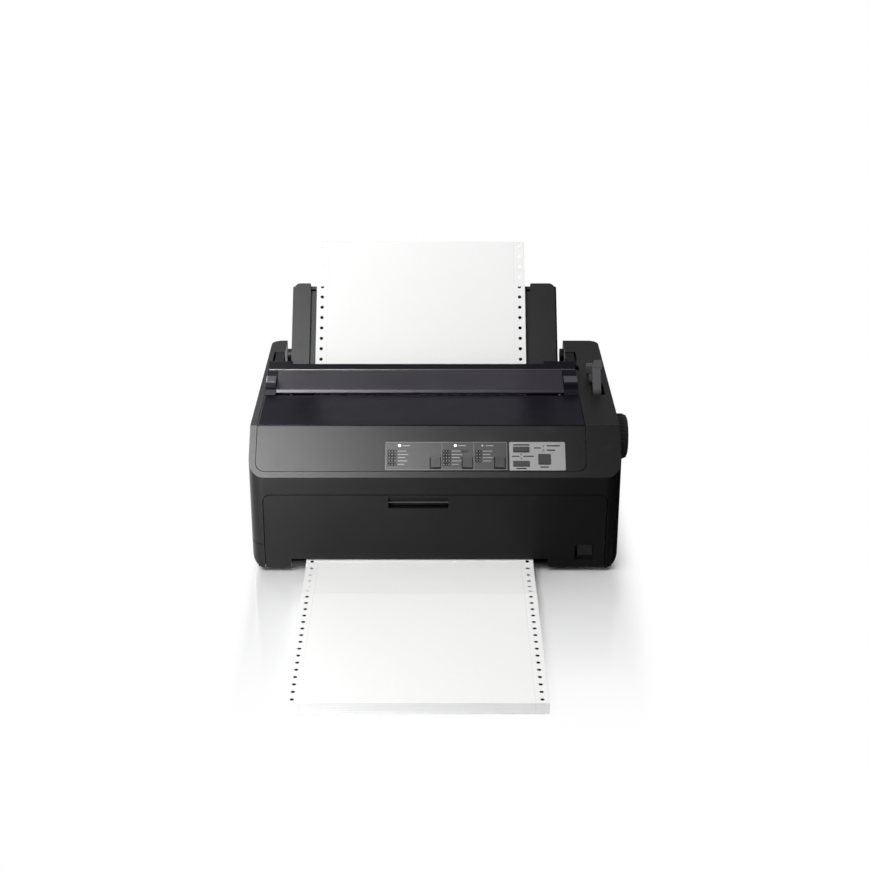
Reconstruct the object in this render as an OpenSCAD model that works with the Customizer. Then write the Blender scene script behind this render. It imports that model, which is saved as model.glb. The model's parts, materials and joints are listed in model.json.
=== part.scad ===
// Dot matrix printer with fan-fold paper: a stack in front, the web through the
// machine and out behind the cover. Machine axes while drawing: X across, 0 at
// the case's middle; Y back from the front face; Z up from the desk.

/* [Case] */
// Width of the case
body_w = 390; // [375:1:420]
// Depth of the case
body_d = 302; // [299:1:330]
// Height of the flat cheeks beside the cover
deck_z = 150; // [149:1:156]
// Height of the joint between the two case halves
seam_z = 31; // [29:1:36]
// Height of the rubber feet
foot_h = 3; // [2:0.5:6]
// Radius of the rubber feet
foot_r = 8; // [5:0.5:12]
// Wall thickness of the case
wall = 2.5; // [2:0.1:3]
// Plan radius of the front corners
front_r = 16; // [8:1:20]
// Plan radius of the rear corners
rear_r = 12; // [6:1:18]
// Radius of the lower side edges
edge_r = 15; // [8:1:18]
// Height where the front face turns into the slope
brow_z = 109.5; // [106:0.5:113]
// How far the slope runs back
slope_run = 44; // [41:0.5:46]
// Width of the left cheek
cheek_l = 7; // [5:0.5:7.5]
// Width of the right cheek
cheek_r = 36.2; // [34:0.2:38]

/* [Control panel] */
// Thickness of the panel insert
panel_t = 2.6; // [2.2:0.1:3.2]
// Rim of case left below the insert
panel_rim = 6.7; // [5:0.1:7.2]
// Radius of the insert's lower corners
panel_r = 10; // [4:1:14]
// Gap round the insert
panel_gap = 0.5; // [0.3:0.05:0.7]
// Depth of the dark field and of the label's seat
field_t = 0.4; // [0.2:0.05:0.6]
// Thickness of the grey label
label_t = 0.5; // [0.3:0.05:0.8]
// Travel of a push button
button_travel = 0.8; // [0.5:0.1:0.9]
// How far a button stands above the panel
button_up = 1.4; // [1:0.1:2.5]
// Clearance round a button
button_gap = 0.25; // [0.15:0.05:0.4]
// Depth of the button board below the panel's face
board_depth = 9.5; // [9:0.1:10]
// Radius of a lamp
lamp_r = 1.5; // [1:0.1:1.8]

/* [Front cover] */
// Width of the front cover
door_w = 360; // [350:1:364]
// Height of the front cover's top edge
door_top = 89; // [86:0.5:92]
// Height of its bottom edge
door_bottom = 4.5; // [4:0.1:5]
// Thickness of the front cover
door_t = 3; // [2.5:0.1:3.5]
// Radius of its top corners
door_r = 8; // [4:0.5:12]
// Width of the paper notch
notch_w = 273; // [262:1:280]
// Height of the notch's top edge
notch_top = 14; // [13.8:0.1:16]
// Width of the grip recess
grip_w = 63; // [40:1:80]

/* [Printer cover] */
// Thickness of the smoked window
window_t = 2.4; // [2:0.1:3]
// Rear edge of the window
window_end = 128; // [124:0.5:130]
// Height of the cover's ridge
ridge_z = 165; // [163:0.5:170]
// Front and rear of the ridge
ridge_y = [172, 188];
// Distance of the hinge line behind the front face
cover_hinge_y = 230; // [226:0.5:233]
// Height of the hinge line
cover_hinge_z = 143; // [141:0.5:144]
// Thickness of the tear-off flap
flap_t = 3; // [2:0.1:3.5]

/* [Paper] */
// Width of the paper
paper_w = 241.3; // [236:0.1:246]
// Where the paper's middle lies
paper_x = -16.3; // [-18:0.1:-14]
// Distance between two feed holes
hole_pitch = 12.7; // [12.6:0.01:12.8]
// Diameter of a feed hole
hole_d = 4; // [3.8:0.05:4.3]
// Distance from an edge of the paper to its row of holes
hole_in = 6.35; // [6:0.05:6.8]
// Length of one form
form_l = 203.2; // [190.5:12.7:215.9]
// Height of the stack
stack_h = 12; // [11.5:0.5:14]
// Distance of the stack's rear fold from the front face
stack_gap = 71.4; // [68:0.1:76]
// Thickness of the web
web_t = 0.3; // [0.2:0.02:0.32]
// Lean of the rear sheet from the vertical
lean = 40; // [39:0.5:41]
// Lowest row of holes in sight on the rear sheet: distance behind the front face
sheet_y = 208.1; // [207.5:0.1:209]
// The same row's height
sheet_z = 161.8; // [161:0.1:162.5]
// Length of the rear sheet above that row
sheet_l = 145.2; // [130:0.1:145.5]

/* [Platen and gears] */
// Platen axis: distance behind the front face
platen_y = 141; // [140:0.5:142]
// Platen axis: height
platen_z = 95; // [94:0.5:96]
// Radius of the platen
platen_r = 18; // [17.5:0.1:18.2]
// Length of the platen
platen_l = 276; // [260:1:286]
// Radius of the platen shaft
shaft_r = 5; // [4:0.1:6]
// Radius of the knob
knob_r = 25; // [20:0.5:28]
// Length of the knob
knob_l = 19; // [14:0.5:24]
// Gear module
gear_m = 1.5; // [1.45:0.01:1.51]
// Thickness of the gears
gear_t = 6; // [4:0.5:7]
// Running clearance of a shaft in its hole
fit = 0.05; // [0.03:0.01:0.08]

/* [Tractors] */
// Tractor shaft: distance behind the front face
tractor_y = 72; // [71.5:0.1:72.5]
// Tractor shaft: height
tractor_z = 36; // [35.5:0.1:36.5]
// Climb of the paper through the tractors, in degrees
climb = 28; // [27.5:0.1:28.5]
// Width of a tractor
tractor_w = 18; // [16:0.5:20]
// Length of a tractor
tractor_l = 40; // [34:1:42]
// Side of the square tractor shaft
square_s = 7; // [6:0.1:7.4]

/* [Carriage] */
// Carriage rod: distance behind the front face
rod_y = 93; // [92:0.5:94]
// Carriage rod: height
rod_z = 82; // [81.5:0.1:83]
// Radius of the carriage rod
rod_r = 5; // [4:0.1:5.5]
// Width of the carriage
carriage_w = 40; // [34:1:42]
// Radius of the belt pulleys
pulley_r = 7; // [6:0.1:7.2]
// Thickness of the belt
belt_t = 1; // [0.6:0.1:1.2]
// Radius of the motors
motor_r = 17; // [14:0.5:18]

/* [Rear guide] */
// Length of the edge guides up the lean
guide_l = 93.5; // [80:0.5:104]
// Thickness of the guide plate
guide_t = 2.5; // [2:0.1:3]
// Radius of the edge guides' top corners
guide_r = 7; // [3:0.5:9]

/* [Hidden] */
$fn = 48;
half_w = body_w / 2;
e = 0.01;
slope_a = atan2(deck_z - brow_z, slope_run);
slope_l = norm([slope_run, deck_z - brow_z]);
open_l = -half_w + cheek_l;
open_r = half_w - cheek_r;
knob_gap = 1;
seat_in = 0.2;
knob_end = half_w + knob_gap + knob_l;
stack_front = -stack_gap - form_l;
// everything is drawn in machine axes and moved to the middle of its box
shift = [-(knob_end - half_w) / 2, -(body_d + stack_front) / 2, 0];
frame_x = [paper_x - platen_l / 2 - 7.7, paper_x + platen_l / 2 + 18.3];
frame_t = 2;
gear_x = frame_x[0] - 6;
base_z = foot_h + wall;
base_t = 1.5;
cols = [paper_x - paper_w / 2 + hole_in, paper_x + paper_w / 2 - hole_in];

black = [0.07, 0.07, 0.075];
grey = [0.45, 0.45, 0.46];
steel = [0.7, 0.71, 0.72];

// ---- helpers ----
module along_x(x0, x1) { translate([x0, 0, 0]) rotate([90, 0, 90]) linear_extrude(x1 - x0) children(); }
module along_y(y0, y1) { translate([0, y1, 0]) rotate([90, 0, 0]) linear_extrude(y1 - y0) children(); }
module rod_x(x0, x1, c, r) { translate([x0, c[0], c[1]]) rotate([0, 90, 0]) cylinder(h = x1 - x0, r = r); }
module rod_y(y0, y1, x, z, r) { translate([x, y0, z]) rotate([-90, 0, 0]) cylinder(h = y1 - y0, r = r); }
module box(a, b) { translate(a) cube(b - a); }
// a rectangle whose two near corners have one radius and its two far corners another
module plate(x0, x1, y0, y1, rn, rf) {
  union() {
    translate([x0, y0 + rn]) square([x1 - x0, y1 - y0 - rn - rf]);
    translate([x0 + rn, y0]) square([x1 - x0 - 2 * rn, rn + e]);
    translate([x0 + rf, y1 - rf - e]) square([x1 - x0 - 2 * rf, rf + e]);
    if (rn > 0) for (x = [x0 + rn, x1 - rn]) translate([x, y0 + rn]) circle(rn);
    if (rf > 0) for (x = [x0 + rf, x1 - rf]) translate([x, y1 - rf]) circle(rf);
  }
}
// local x across, y up the slope from the brow, z out of its face
module on_slope() { translate([0, 0, brow_z]) rotate([slope_a, 0, 0]) children(); }

// ---- case ----
in_y = wall * sin(slope_a);
in_z = brow_z - wall * cos(slope_a);
module side_outer() {
  polygon([[0, seam_z], [0, brow_z], [slope_run, deck_z], [body_d, deck_z], [body_d, seam_z]]);
}
module side_inner() {
  t = tan(slope_a);
  polygon([[wall, seam_z - 1], [wall, in_z + (wall - in_y) * t],
    [in_y + (deck_z - wall - in_z) / t, deck_z - wall], [body_d - wall, deck_z - wall],
    [body_d - wall, seam_z - 1]]);
}
module plan(inset, z0, z1) {
  translate([0, 0, z0]) linear_extrude(z1 - z0)
    plate(-half_w + inset, half_w - inset, inset, body_d - inset,
      front_r - inset, rear_r - inset, $fn = 64);
}
// openings in the rear wall: data port, square port, mains inlet
port_z = 29.6;
port_par = [-90, -15]; port_par_h = 15;
port_sq = [5, 17]; port_sq_h = 11;
inlet_x = [135, 163]; inlet_z = [33, 53];
port_gap = 0.5;
module rear_cut(x, z0, z1) box([x[0], body_d - wall - 1, z0], [x[1], body_d + 1, z1]);
module rear_cuts() {
  for (p = [[port_par, port_par_h], [port_sq, port_sq_h]])
    rear_cut(p[0] + [-port_gap, port_gap], port_z - 2 * port_gap, port_z + p[1] + port_gap);
  rear_cut(inlet_x, inlet_z[0], inlet_z[1]);
}
door_gap = 0.8;
// shadow line between the case halves
seam_cut = 0.6;
door_axis = [4.5, 7.5];
door_pin = 2;
post_x = [door_w / 2 + 1.5, door_w / 2 + 8];
floor_front = 12;
rocker_c = [158.5, 12];
rocker_z = [15.5, 28.5];
rocker_w = 16;
rocker_pin = 1.5;
module lower_case() color(black) {
  difference() {
    union() {
      difference() {
        intersection() {
          along_y(0, body_d) plate(-half_w, half_w, foot_h, seam_z, edge_r, 0, $fn = 64);
          plan(0, foot_h, seam_z);
        }
        intersection() {
          along_y(wall, body_d - wall)
            plate(-half_w + wall, half_w - wall, base_z, seam_z + 1, edge_r - wall, 0, $fn = 64);
          plan(wall, base_z, seam_z + 1);
        }
        box([-door_w / 2 - door_gap, -1, 0], [door_w / 2 + door_gap, floor_front, seam_z + 1]);
      }
      // posts that carry the front cover's pins
      for (s = [-1, 1]) mirror([s < 0 ? 1 : 0, 0, 0])
        box([post_x[0], wall - 1, base_z - 1], [post_x[1], floor_front + 2, seam_z]);
      // frame round the power rocker
      difference() {
        box([rocker_c[0] - 12, door_t + 1.5, rocker_z[0] - 3.5],
          [rocker_c[0] + 12, floor_front + 6, rocker_z[1] + 3.5]);
        box([rocker_c[0] - rocker_w / 2 - 1.2, 0, rocker_z[0] - 0.4],
          [rocker_c[0] + rocker_w / 2 + 1.2, floor_front + 7, rocker_z[1] + 0.4]);
      }
      box([rocker_c[0] - 12, floor_front, foot_h], [rocker_c[0] + 12, floor_front + 6, rocker_z[0] - 3]);
    }
    rod_x(-post_x[1] - e, post_x[1] + e, door_axis, door_pin + fit);
    translate([rocker_c[0], rocker_c[1], rocker_z[0] - 3]) cylinder(h = 30, r = rocker_pin + fit);
    rear_cuts();
  }
}
arm_x = [[open_l + 0.5, open_l + 8.5], [open_r - 4.5, open_r - 0.5]];
recess_x = [open_l + 11, open_r - 5.4];
recess_z = 120;
shelf_z = recess_z - 0.3;
lug_t = 2.5;
lug_r = 4.5;
ledge_y = [52, 64];
ledge_t = 5;
foot_x = 170;
foot_y = [28, body_d - 24];
pocket_x = [open_l - 1, open_r + 6.7];
pocket_end = body_d - 39;
block_y = pocket_end + wall;
deck_front = 203;
hinge_pin = 2.5;
lever_c = [147, 112];
lever_x = [175.3, 184.3];
lever_slot = [129, 165];
thick_c = [178, 125];
thick_x = [174, 179.5];
thick_slot = [170, 200];
knob_boss = 8;
cover_hinge = [cover_hinge_y, cover_hinge_z];
// tails of the cover's arms behind the hinge, which close the pockets
tail_x = [[open_l + 1.3, recess_x[0] - 0.2], [arm_x[1][0] - 1.3, pocket_x[1] - 2.3]];
tail_end = pocket_end - 1.5;
module shelf(x, y_end) box([x[0], deck_front, shelf_z - wall], [x[1], y_end, shelf_z]);
module deck_wall(x, y) box([x[0], y[0], shelf_z - 1], [x[1], y[1], deck_z - 1]);
module lug(x) {
  box([x, cover_hinge_y - lug_r, shelf_z - 1], [x + lug_t, cover_hinge_y + lug_r, cover_hinge_z]);
  rod_x(x, x + lug_t, cover_hinge, lug_r);
}
module upper_case() color(black) {
  difference() {
    union() {
      difference() {
        intersection() {
          along_x(-half_w, half_w) side_outer();
          union() { plan(0, seam_z + seam_cut, deck_z + 1); plan(seam_cut, seam_z, seam_z + 3); }
        }
        intersection() { along_x(-half_w, half_w) side_inner(); plan(wall, seam_z - 1, deck_z); }
        // mouth for the front cover
        along_y(-1, wall + 1)
          plate(-door_w / 2 - door_gap, door_w / 2 + door_gap, 0, door_top + door_gap, 0,
            door_r + door_gap);
        // seat of the panel insert, and the top opening
        on_slope() translate([0, 0, -6]) linear_extrude(12)
          plate(open_l + seat_in, open_r - seat_in, panel_rim, slope_l + 3, panel_r, 0);
        box([open_l, slope_run - 0.5, deck_z - 8], [open_r, deck_front, deck_z + 1]);
        // open recess at the rear, and the pockets of the cover's arms
        box([recess_x[0], deck_front - 1, recess_z], [recess_x[1], body_d + 1, deck_z + 1]);
        box([pocket_x[0], deck_front - 1, deck_z - 8], [recess_x[0] + 1, pocket_end, deck_z + 1]);
        box([recess_x[1] - 1, deck_front - 1, deck_z - 8], [pocket_x[1], pocket_end, deck_z + 1]);
        // lever slots
        box([lever_x[0] - 1.5, lever_slot[0], deck_z - 8], [lever_x[1] + 3.7, lever_slot[1], deck_z + 1]);
        box([thick_x[0] - 1, thick_slot[0], deck_z - 8], [thick_x[1] + 1, thick_slot[1], deck_z + 1]);
        rear_cuts();
      }
      // floor of the recess, and the walls of the two rear corner blocks
      shelf([recess_x[0] - wall, recess_x[1] + wall], body_d - 1);
      shelf([-half_w + wall - 1, recess_x[0]], block_y);
      shelf([recess_x[1], pocket_x[1] + wall], block_y);
      deck_wall([recess_x[0] - wall, recess_x[0] - 0.2], [pocket_end + 0.2, body_d - 1]);
      deck_wall([-half_w + wall - 1, recess_x[0] - 0.2], [pocket_end + 0.2, block_y]);
      deck_wall([recess_x[1] + 0.2, recess_x[1] + wall], [pocket_end + 0.2, body_d - 1]);
      deck_wall([recess_x[1] + 0.2, pocket_x[1] + wall], [pocket_end + 0.2, block_y]);
      deck_wall([pocket_x[1] + 0.2, pocket_x[1] + wall], [deck_front, pocket_end + 1]);
      // hinge pins of the printer cover with their lugs
      rod_x(-half_w + wall - 1, arm_x[0][1] + 3, cover_hinge, hinge_pin);
      lug(arm_x[0][1] + 0.8);
      rod_x(arm_x[1][0] - 3, pocket_x[1] + 1, cover_hinge, hinge_pin);
      lug(arm_x[1][0] - 0.9 - lug_t);
      // ledges that the closed cover rests on
      box([-half_w + wall - 1, ledge_y[0], rail_z - ledge_t], [open_l + 6, ledge_y[1], rail_z - 0.3]);
      box([open_r - 6, ledge_y[0], rail_z - ledge_t], [open_r + 4, ledge_y[1], rail_z - 0.3]);
      box([open_r + 0.6, ledge_y[0], rail_z - ledge_t], [open_r + 4, ledge_y[1], deck_z - 1]);
      // ledge under the insert's lower edge
      on_slope() {
        box([open_l + 20, panel_rim - 4, -panel_t - 2], [open_r - 20, panel_rim + 1.5, -panel_t]);
        box([open_l + 20, panel_rim - 4, -panel_t - 2], [open_r - 20, panel_rim - 0.5, -1]);
      }
    }
    rod_x(half_w - wall - 1, half_w + 1, [platen_y, platen_z], knob_boss + 1);
  }
}
module rubber_feet() color([0.04, 0.04, 0.04])
  for (x = [-foot_x, foot_x], y = foot_y) translate([x, y, 0]) cylinder(h = foot_h, r = foot_r);

// ---- control panel ----
// middle across, middle up the slope, width, length
keys = [[0.55, 16.9, 10.3, 11.7], [33.95, 16.9, 10.3, 11.7], [67.85, 16.9, 10.3, 11.7],
  [90.2, 31.75, 16.5, 5.7], [90.2, 15.6, 16.5, 5.7], [114.4, 20.6, 12.3, 11.2]];
lamps = [[-37.2, 36.3], [21.3, 36.3], [50.3, 36.3]];
pips = [[114, 36], [114, 31], [90.4, 26.4], [90.4, 22]];
pip_r = 0.9;
field = [-52.4, 76.1, 8.4, 41];
label = [77.8, 136.5, 8, 40.5];
post = [[-50, 44], [40, 44], [133, 44], [-50, 11], [18, 11], [133, 11]];
module key_holes(g, z0, z1) {
  for (k = keys)
    box([k[0] - k[2] / 2 - g, k[1] - k[3] / 2 - g, z0], [k[0] + k[2] / 2 + g, k[1] + k[3] / 2 + g, z1]);
}
module lamp_holes(g, z0, z1) {
  for (p = lamps) translate([p[0], p[1], z0]) cylinder(h = z1 - z0, r = lamp_r + g, $fn = 24);
  for (p = pips) translate([p[0], p[1], z0]) cylinder(h = z1 - z0, r = pip_r + g, $fn = 24);
}
module control_panel() color(black) on_slope() difference() {
  union() {
    translate([0, 0, -panel_t]) linear_extrude(panel_t)
      plate(open_l + seat_in + panel_gap, open_r - seat_in - panel_gap, panel_rim + panel_gap,
        slope_l - 1, panel_r, 0);
    for (p = post) translate([p[0], p[1], -board_depth]) cylinder(h = board_depth - panel_t + e, r = 2.5);
  }
  rotate([-slope_a, 0, 0]) translate([0, 0, -brow_z])
    box([open_l, slope_run + 0.2, deck_z - 8], [open_r, slope_run + 8, deck_z + 2]);
  box([field[0], field[2], -field_t], [field[1], field[3], 1]);
  translate([0, 0, -field_t]) linear_extrude(2) plate(label[0], label[1], label[2], label[3], 1.5, 1.5);
  key_holes(button_gap, -panel_t - 1, 1);
  lamp_holes(0.1, -panel_t - 1, 1);
}
module grey_label() color([0.66, 0.66, 0.66]) on_slope() difference() {
  translate([0, 0, -field_t]) linear_extrude(label_t)
    plate(label[0] + 0.1, label[1] - 0.1, label[2] + 0.1, label[3] - 0.1, 1.4, 1.4);
  key_holes(button_gap, -1, 1);
  lamp_holes(0.1, -1, 1);
}
module panel_lamps() color([0.85, 0.95, 0.85]) on_slope() {
  for (p = lamps) translate([p[0], p[1], -board_depth]) cylinder(h = board_depth + 0.2, r = lamp_r, $fn = 24);
  for (p = pips) translate([p[0], p[1], -board_depth]) cylinder(h = board_depth + 0.2, r = pip_r, $fn = 24);
}
key_flange = panel_t + 0.3;
stem_end = key_flange + 4.2;
module button(k) on_slope() union() {
  box([k[0] - k[2] / 2, k[1] - k[3] / 2, -key_flange - 1], [k[0] + k[2] / 2, k[1] + k[3] / 2, button_up]);
  box([k[0] - k[2] / 2 - 1, k[1] - k[3] / 2 - 1, -key_flange - 1.2],
    [k[0] + k[2] / 2 + 1, k[1] + k[3] / 2 + 1, -key_flange]);
  translate([k[0], k[1], -stem_end]) cylinder(h = stem_end - key_flange, r = 1.8, $fn = 24);
}
module button_board() color([0.1, 0.35, 0.2]) on_slope() union() {
  box([-56, 7, -board_depth - 1.6], [139, 47, -board_depth]);
  for (k = keys) translate([k[0], k[1], -board_depth - e])
    cylinder(h = board_depth - stem_end - button_travel - 0.2, r = 2.2, $fn = 24);
}

// ---- front cover ----
grip_x = paper_x - 1.2;
module front_cover() color(black) difference() {
  union() {
    along_y(0, door_t) plate(-door_w / 2, door_w / 2, door_bottom, door_top, 0, door_r);
    box([grip_x - grip_w / 2 - 2, door_t - e, 72], [grip_x + grip_w / 2 + 2, 10.5, door_top]);
    for (s = [-1, 1]) mirror([s < 0 ? 1 : 0, 0, 0]) {
      box([door_w / 2 - 6, door_t - e, 5], [door_w / 2, 7, 10]);
      rod_x(door_w / 2 - 1, post_x[0] + 4, door_axis, door_pin);
    }
  }
  box([grip_x - grip_w / 2, -1, 74], [grip_x + grip_w / 2, 9, 81]);
  box([grip_x - grip_w / 2, -1, 80.9], [grip_x + grip_w / 2, 4, 87]);
  box([paper_x - notch_w / 2, -1, 0], [paper_x + notch_w / 2, door_t + 1, notch_top]);
  box([rocker_c[0] - 10.5, -1, rocker_z[0] - 2.5], [rocker_c[0] + 10.5, door_t + 1, rocker_z[1] + 2.5]);
}
rocker_tilt = 7;
module power_rocker() color([0.1, 0.1, 0.1])
  translate([rocker_c[0], rocker_c[1], 0]) rotate([0, 0, rocker_tilt]) union() {
    translate([0, 0, rocker_z[0]]) linear_extrude(rocker_z[1] - rocker_z[0])
      polygon([[-rocker_w / 2, -7], [0, -5.6], [rocker_w / 2, -7], [rocker_w / 2 - 1.5, 2], [0, 3.5],
        [-rocker_w / 2 + 1.5, 2]]);
    translate([0, 0, rocker_z[0] - 2.5]) cylinder(h = rocker_z[1] - rocker_z[0] + 5, r = rocker_pin);
  }

// ---- printer cover ----
rail_z = deck_z - window_t - 8.5;
cover_gap = 0.5;
tab_w = [11.5, 15.5];
flap_axis = [135, 151];
flap_pin = 1.5;
flap_ends = [open_l + cover_gap + tab_w[0] + 0.4, open_r - cover_gap - tab_w[1] - 0.4];
flap_back = ridge_y[0] - 0.8;
module tab_side() {
  polygon([[window_end + 0.4, rail_z], [window_end + 0.4, deck_z], [133, 154.5], [flap_back, ridge_z - 2.5],
    [ridge_y[0] + 1, ridge_z - 2.5], [ridge_y[0] + 1, rail_z]]);
}
module ridge_side() {
  polygon([[ridge_y[0], 147], [ridge_y[0], ridge_z - 3.5], [ridge_y[1] - 3, ridge_z],
    [ridge_y[1], ridge_z - 2], [ridge_y[1], 147]]);
}
// the ridge's ends reach further back and stand a little higher
horn_x = [[open_l + cover_gap, open_l + 27], [open_r - 35.4, open_r - cover_gap]];
horn_end = ridge_y[1] + 4;
module horn_side() {
  polygon([[ridge_y[0] + 1, 147.5], [ridge_y[0] + 1, ridge_z - 2.9], [horn_end - 3, ridge_z + 1.5],
    [horn_end, ridge_z + 0.5], [horn_end, 147.5]]);
}
module arm_side() {
  polygon([[ridge_y[0], rail_z], [ridge_y[0], ridge_z - 4], [ridge_y[1], ridge_z - 4],
    [cover_hinge_y + 3, cover_hinge_z + 5], [cover_hinge_y + 3, cover_hinge_z - 5]]);
}
module cover_frame() color([0.06, 0.06, 0.07]) difference() {
  union() {
    for (x = [open_l + cover_gap, open_r - cover_gap - 7.5])
      box([x, slope_run + 2, rail_z], [x + 7.5, ridge_y[0] + 1, deck_z - window_t]);
    along_x(open_l + cover_gap, open_l + cover_gap + tab_w[0]) tab_side();
    along_x(open_r - cover_gap - tab_w[1], open_r - cover_gap) tab_side();
    along_x(open_l + cover_gap, open_r - cover_gap) ridge_side();
    for (x = arm_x) {
      along_x(x[0], x[1]) arm_side();
      rod_x(x[0], x[1], cover_hinge, 5.5);
    }
    for (x = tail_x)
      box([x[0], cover_hinge_y - 8, cover_hinge_z + lug_r + 0.7], [x[1], tail_end, deck_z - 0.2]);
    for (x = horn_x) along_x(x[0], x[1]) horn_side();
    // clips that stand beside the flap
    for (x = [[open_l + cover_gap + 0.3, flap_ends[0] - 0.4], [flap_ends[1] + 0.4, open_r - cover_gap - 0.3]])
      along_x(x[0], x[1]) polygon([[136.5, 150], [137.2, 159.6], [138.4, 160.6], [153, 162.6], [154, 161.8],
        [154, 150]]);
  }
  rod_x(-half_w, half_w, cover_hinge, hinge_pin + fit);
  rod_x(flap_ends[0] - 6, flap_ends[1] + 6, flap_axis, flap_pin + fit);
}
module cover_window() color([0.16, 0.14, 0.22, 0.6])
  box([open_l + cover_gap, slope_run + 0.6, deck_z - window_t], [open_r - cover_gap, window_end, deck_z]);
module tear_off_flap() color([0.12, 0.11, 0.15]) union() {
  along_x(flap_ends[0], flap_ends[1])
    polygon([[132.2, 151.5], [133, 154.5], [flap_back, ridge_z - 2.5], [flap_back, ridge_z - 2.5 - flap_t],
      [136, 151]]);
  rod_x(flap_ends[0], flap_ends[1], flap_axis, 2.4);
  rod_x(flap_ends[0] - 5, flap_ends[1] + 5, flap_axis, flap_pin);
}

// ---- paper: middle line of the web in the side view ----
platen_c = [platen_y, platen_z];
tractor_c = [tractor_y, tractor_z];
pin_r = hole_pitch * 6 / 360 * 180 / PI;
web_off = pin_r + 0.27;
paper_r = platen_r + 0.25 + web_t / 2;
tr_n = [-sin(climb), cos(climb)];
tr_u = [cos(climb), sin(climb)];
function climb_z(y) = tractor_z + web_off / cos(climb) + (y - tractor_y) * tan(climb);
// the rear sheet lies on a line through this point
sheet_p = [sheet_y, sheet_z];
sheet_u = [sin(lean), cos(lean)];
off_a = 116.6;
off_p = platen_c + paper_r * [cos(off_a), sin(off_a)];
off_u = [sin(off_a), -cos(off_a)];
// where the line off the platen meets the sheet's line
off_t = ((sheet_p[0] - off_p[0]) * sheet_u[1] - (sheet_p[1] - off_p[1]) * sheet_u[0])
  / (off_u[0] * sheet_u[1] - off_u[1] * sheet_u[0]);
bend_p = off_p + off_t * off_u;
function bez(a, b, c, t) = (1 - t) * (1 - t) * a + 2 * t * (1 - t) * b + t * t * c;
slack = [[0, 11.85], [6.3, 10.9], [12.6, 10], [18.9, 9.4], [25.3, 9.1], [31.6, 9], [38, 9.05], [44.3, 9.3],
  [50.6, 9.7], [56.9, 10.2]];
in_a = [-8, 10.8]; in_b = [6.5, 12.2]; in_c = [22, climb_z(22)];
up_a = [platen_y - 45, climb_z(platen_y - 45)];
up_c = platen_c + paper_r * [cos(188), sin(188)];
up_b = [up_c[0] - 0.6, platen_z - 18];
path = concat(
  [for (p = slack) [p[0] - stack_gap + 0.05, p[1] + stack_h - 12]],
  [for (t = [0:0.125:1]) bez(in_a, in_b, in_c, t)],
  [for (t = [0:0.125:1]) bez(up_a, up_b, up_c, t)],
  [for (a = [181:-7:off_a + 3]) platen_c + paper_r * [cos(a), sin(a)]],
  [off_p],
  [for (t = [0:0.125:1]) bez(bend_p - 22 * off_u, bend_p, bend_p + 22 * sheet_u, t)],
  [sheet_p + sheet_l * sheet_u]);
path_n = len(path);
function side(i) = let(a = path[max(i - 1, 0)], b = path[min(i + 1, path_n - 1)], d = (b - a) / norm(b - a))
  [-d[1], d[0]];
run = [for (i = 0, s = 0; i < path_n; i = i + 1, s = s + (i < path_n ? norm(path[i] - path[i - 1]) : 0)) s];
function seg(s, i = 0) = (i >= path_n - 2 || run[i + 1] >= s) ? i : seg(s, i + 1);
holes_n = floor((run[path_n - 1] - hole_in + 0.2) / hole_pitch);
hole_s = [for (k = [0:holes_n]) hole_in + k * hole_pitch];
module hole_at(s) {
  i = seg(s);
  d = (path[i + 1] - path[i]) / norm(path[i + 1] - path[i]);
  p = path[i] + (s - run[i]) * d;
  for (x = cols) translate([x, p[0], p[1]]) rotate([atan2(d[1], d[0]), 0, 0])
    cylinder(h = 3, r = hole_d / 2, center = true, $fn = 24);
}
module paper_web() color([0.93, 0.93, 0.92]) difference() {
  along_x(paper_x - paper_w / 2, paper_x + paper_w / 2)
    polygon(concat([for (i = [0:path_n - 1]) path[i] + side(i) * web_t / 2],
      [for (i = [path_n - 1:-1:0]) path[i] - side(i) * web_t / 2]));
  for (s = hole_s) hole_at(s);
}
module paper_stack() color([0.9, 0.9, 0.9]) difference() {
  box([paper_x - paper_w / 2, stack_front, 0], [paper_x + paper_w / 2, -stack_gap, stack_h]);
  for (x = cols, y = [stack_front + hole_in:hole_pitch:-stack_gap - 2])
    translate([x, y, -1]) cylinder(h = stack_h + 2, r = hole_d / 2, $fn = 24);
}

// ---- gears: involute teeth, one angle phase each so that they mesh at rest ----
n_platen = 24; n_idler = 42; n_tractor = 16; n_pinion = 16;
backlash = 0.3;
function pitch_r(n) = gear_m * n / 2;
function inv(a) = tan(a) * 180 / PI - a;
function half_a(n, r) = let(rb = pitch_r(n) * cos(20))
  90 / n - backlash / 2 / pitch_r(n) * 180 / PI + inv(20) - (r > rb ? inv(acos(rb / r)) : 0);
function flank(n) = let(ra = pitch_r(n) + 0.85 * gear_m,
    r0 = max(pitch_r(n) * cos(20), pitch_r(n) - 1.1 * gear_m))
  concat([pitch_r(n) - 1.15 * gear_m], [for (i = [0:3]) r0 + (ra - r0) * i / 3]);
module gear(n, phase, bore) {
  f = flank(n); m = len(f);
  difference() {
    polygon([for (k = [0:n - 1], j = [0:2 * m - 1]) let(r = j < m ? f[j] : f[2 * m - 1 - j],
      a = phase + k * 360 / n + (j < m ? -1 : 1) * half_a(n, r)) r * [cos(a), sin(a)]]);
    circle(bore);
  }
}
function meet(a, ra, b, rb, s) = let(d = norm(b - a), x = (d * d + ra * ra - rb * rb) / (2 * d),
  h = sqrt(max(0, ra * ra - x * x)), u = (b - a) / d) a + x * u + s * h * [-u[1], u[0]];
idler_c = meet(tractor_c, pitch_r(n_tractor) + pitch_r(n_idler),
  platen_c, pitch_r(n_platen) + pitch_r(n_idler), -1);
motor_dir = -25;
motor_c = idler_c + (pitch_r(n_idler) + pitch_r(n_pinion)) * [cos(motor_dir), sin(motor_dir)];
function way(a, b) = atan2(b[1] - a[1], b[0] - a[0]);
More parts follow.
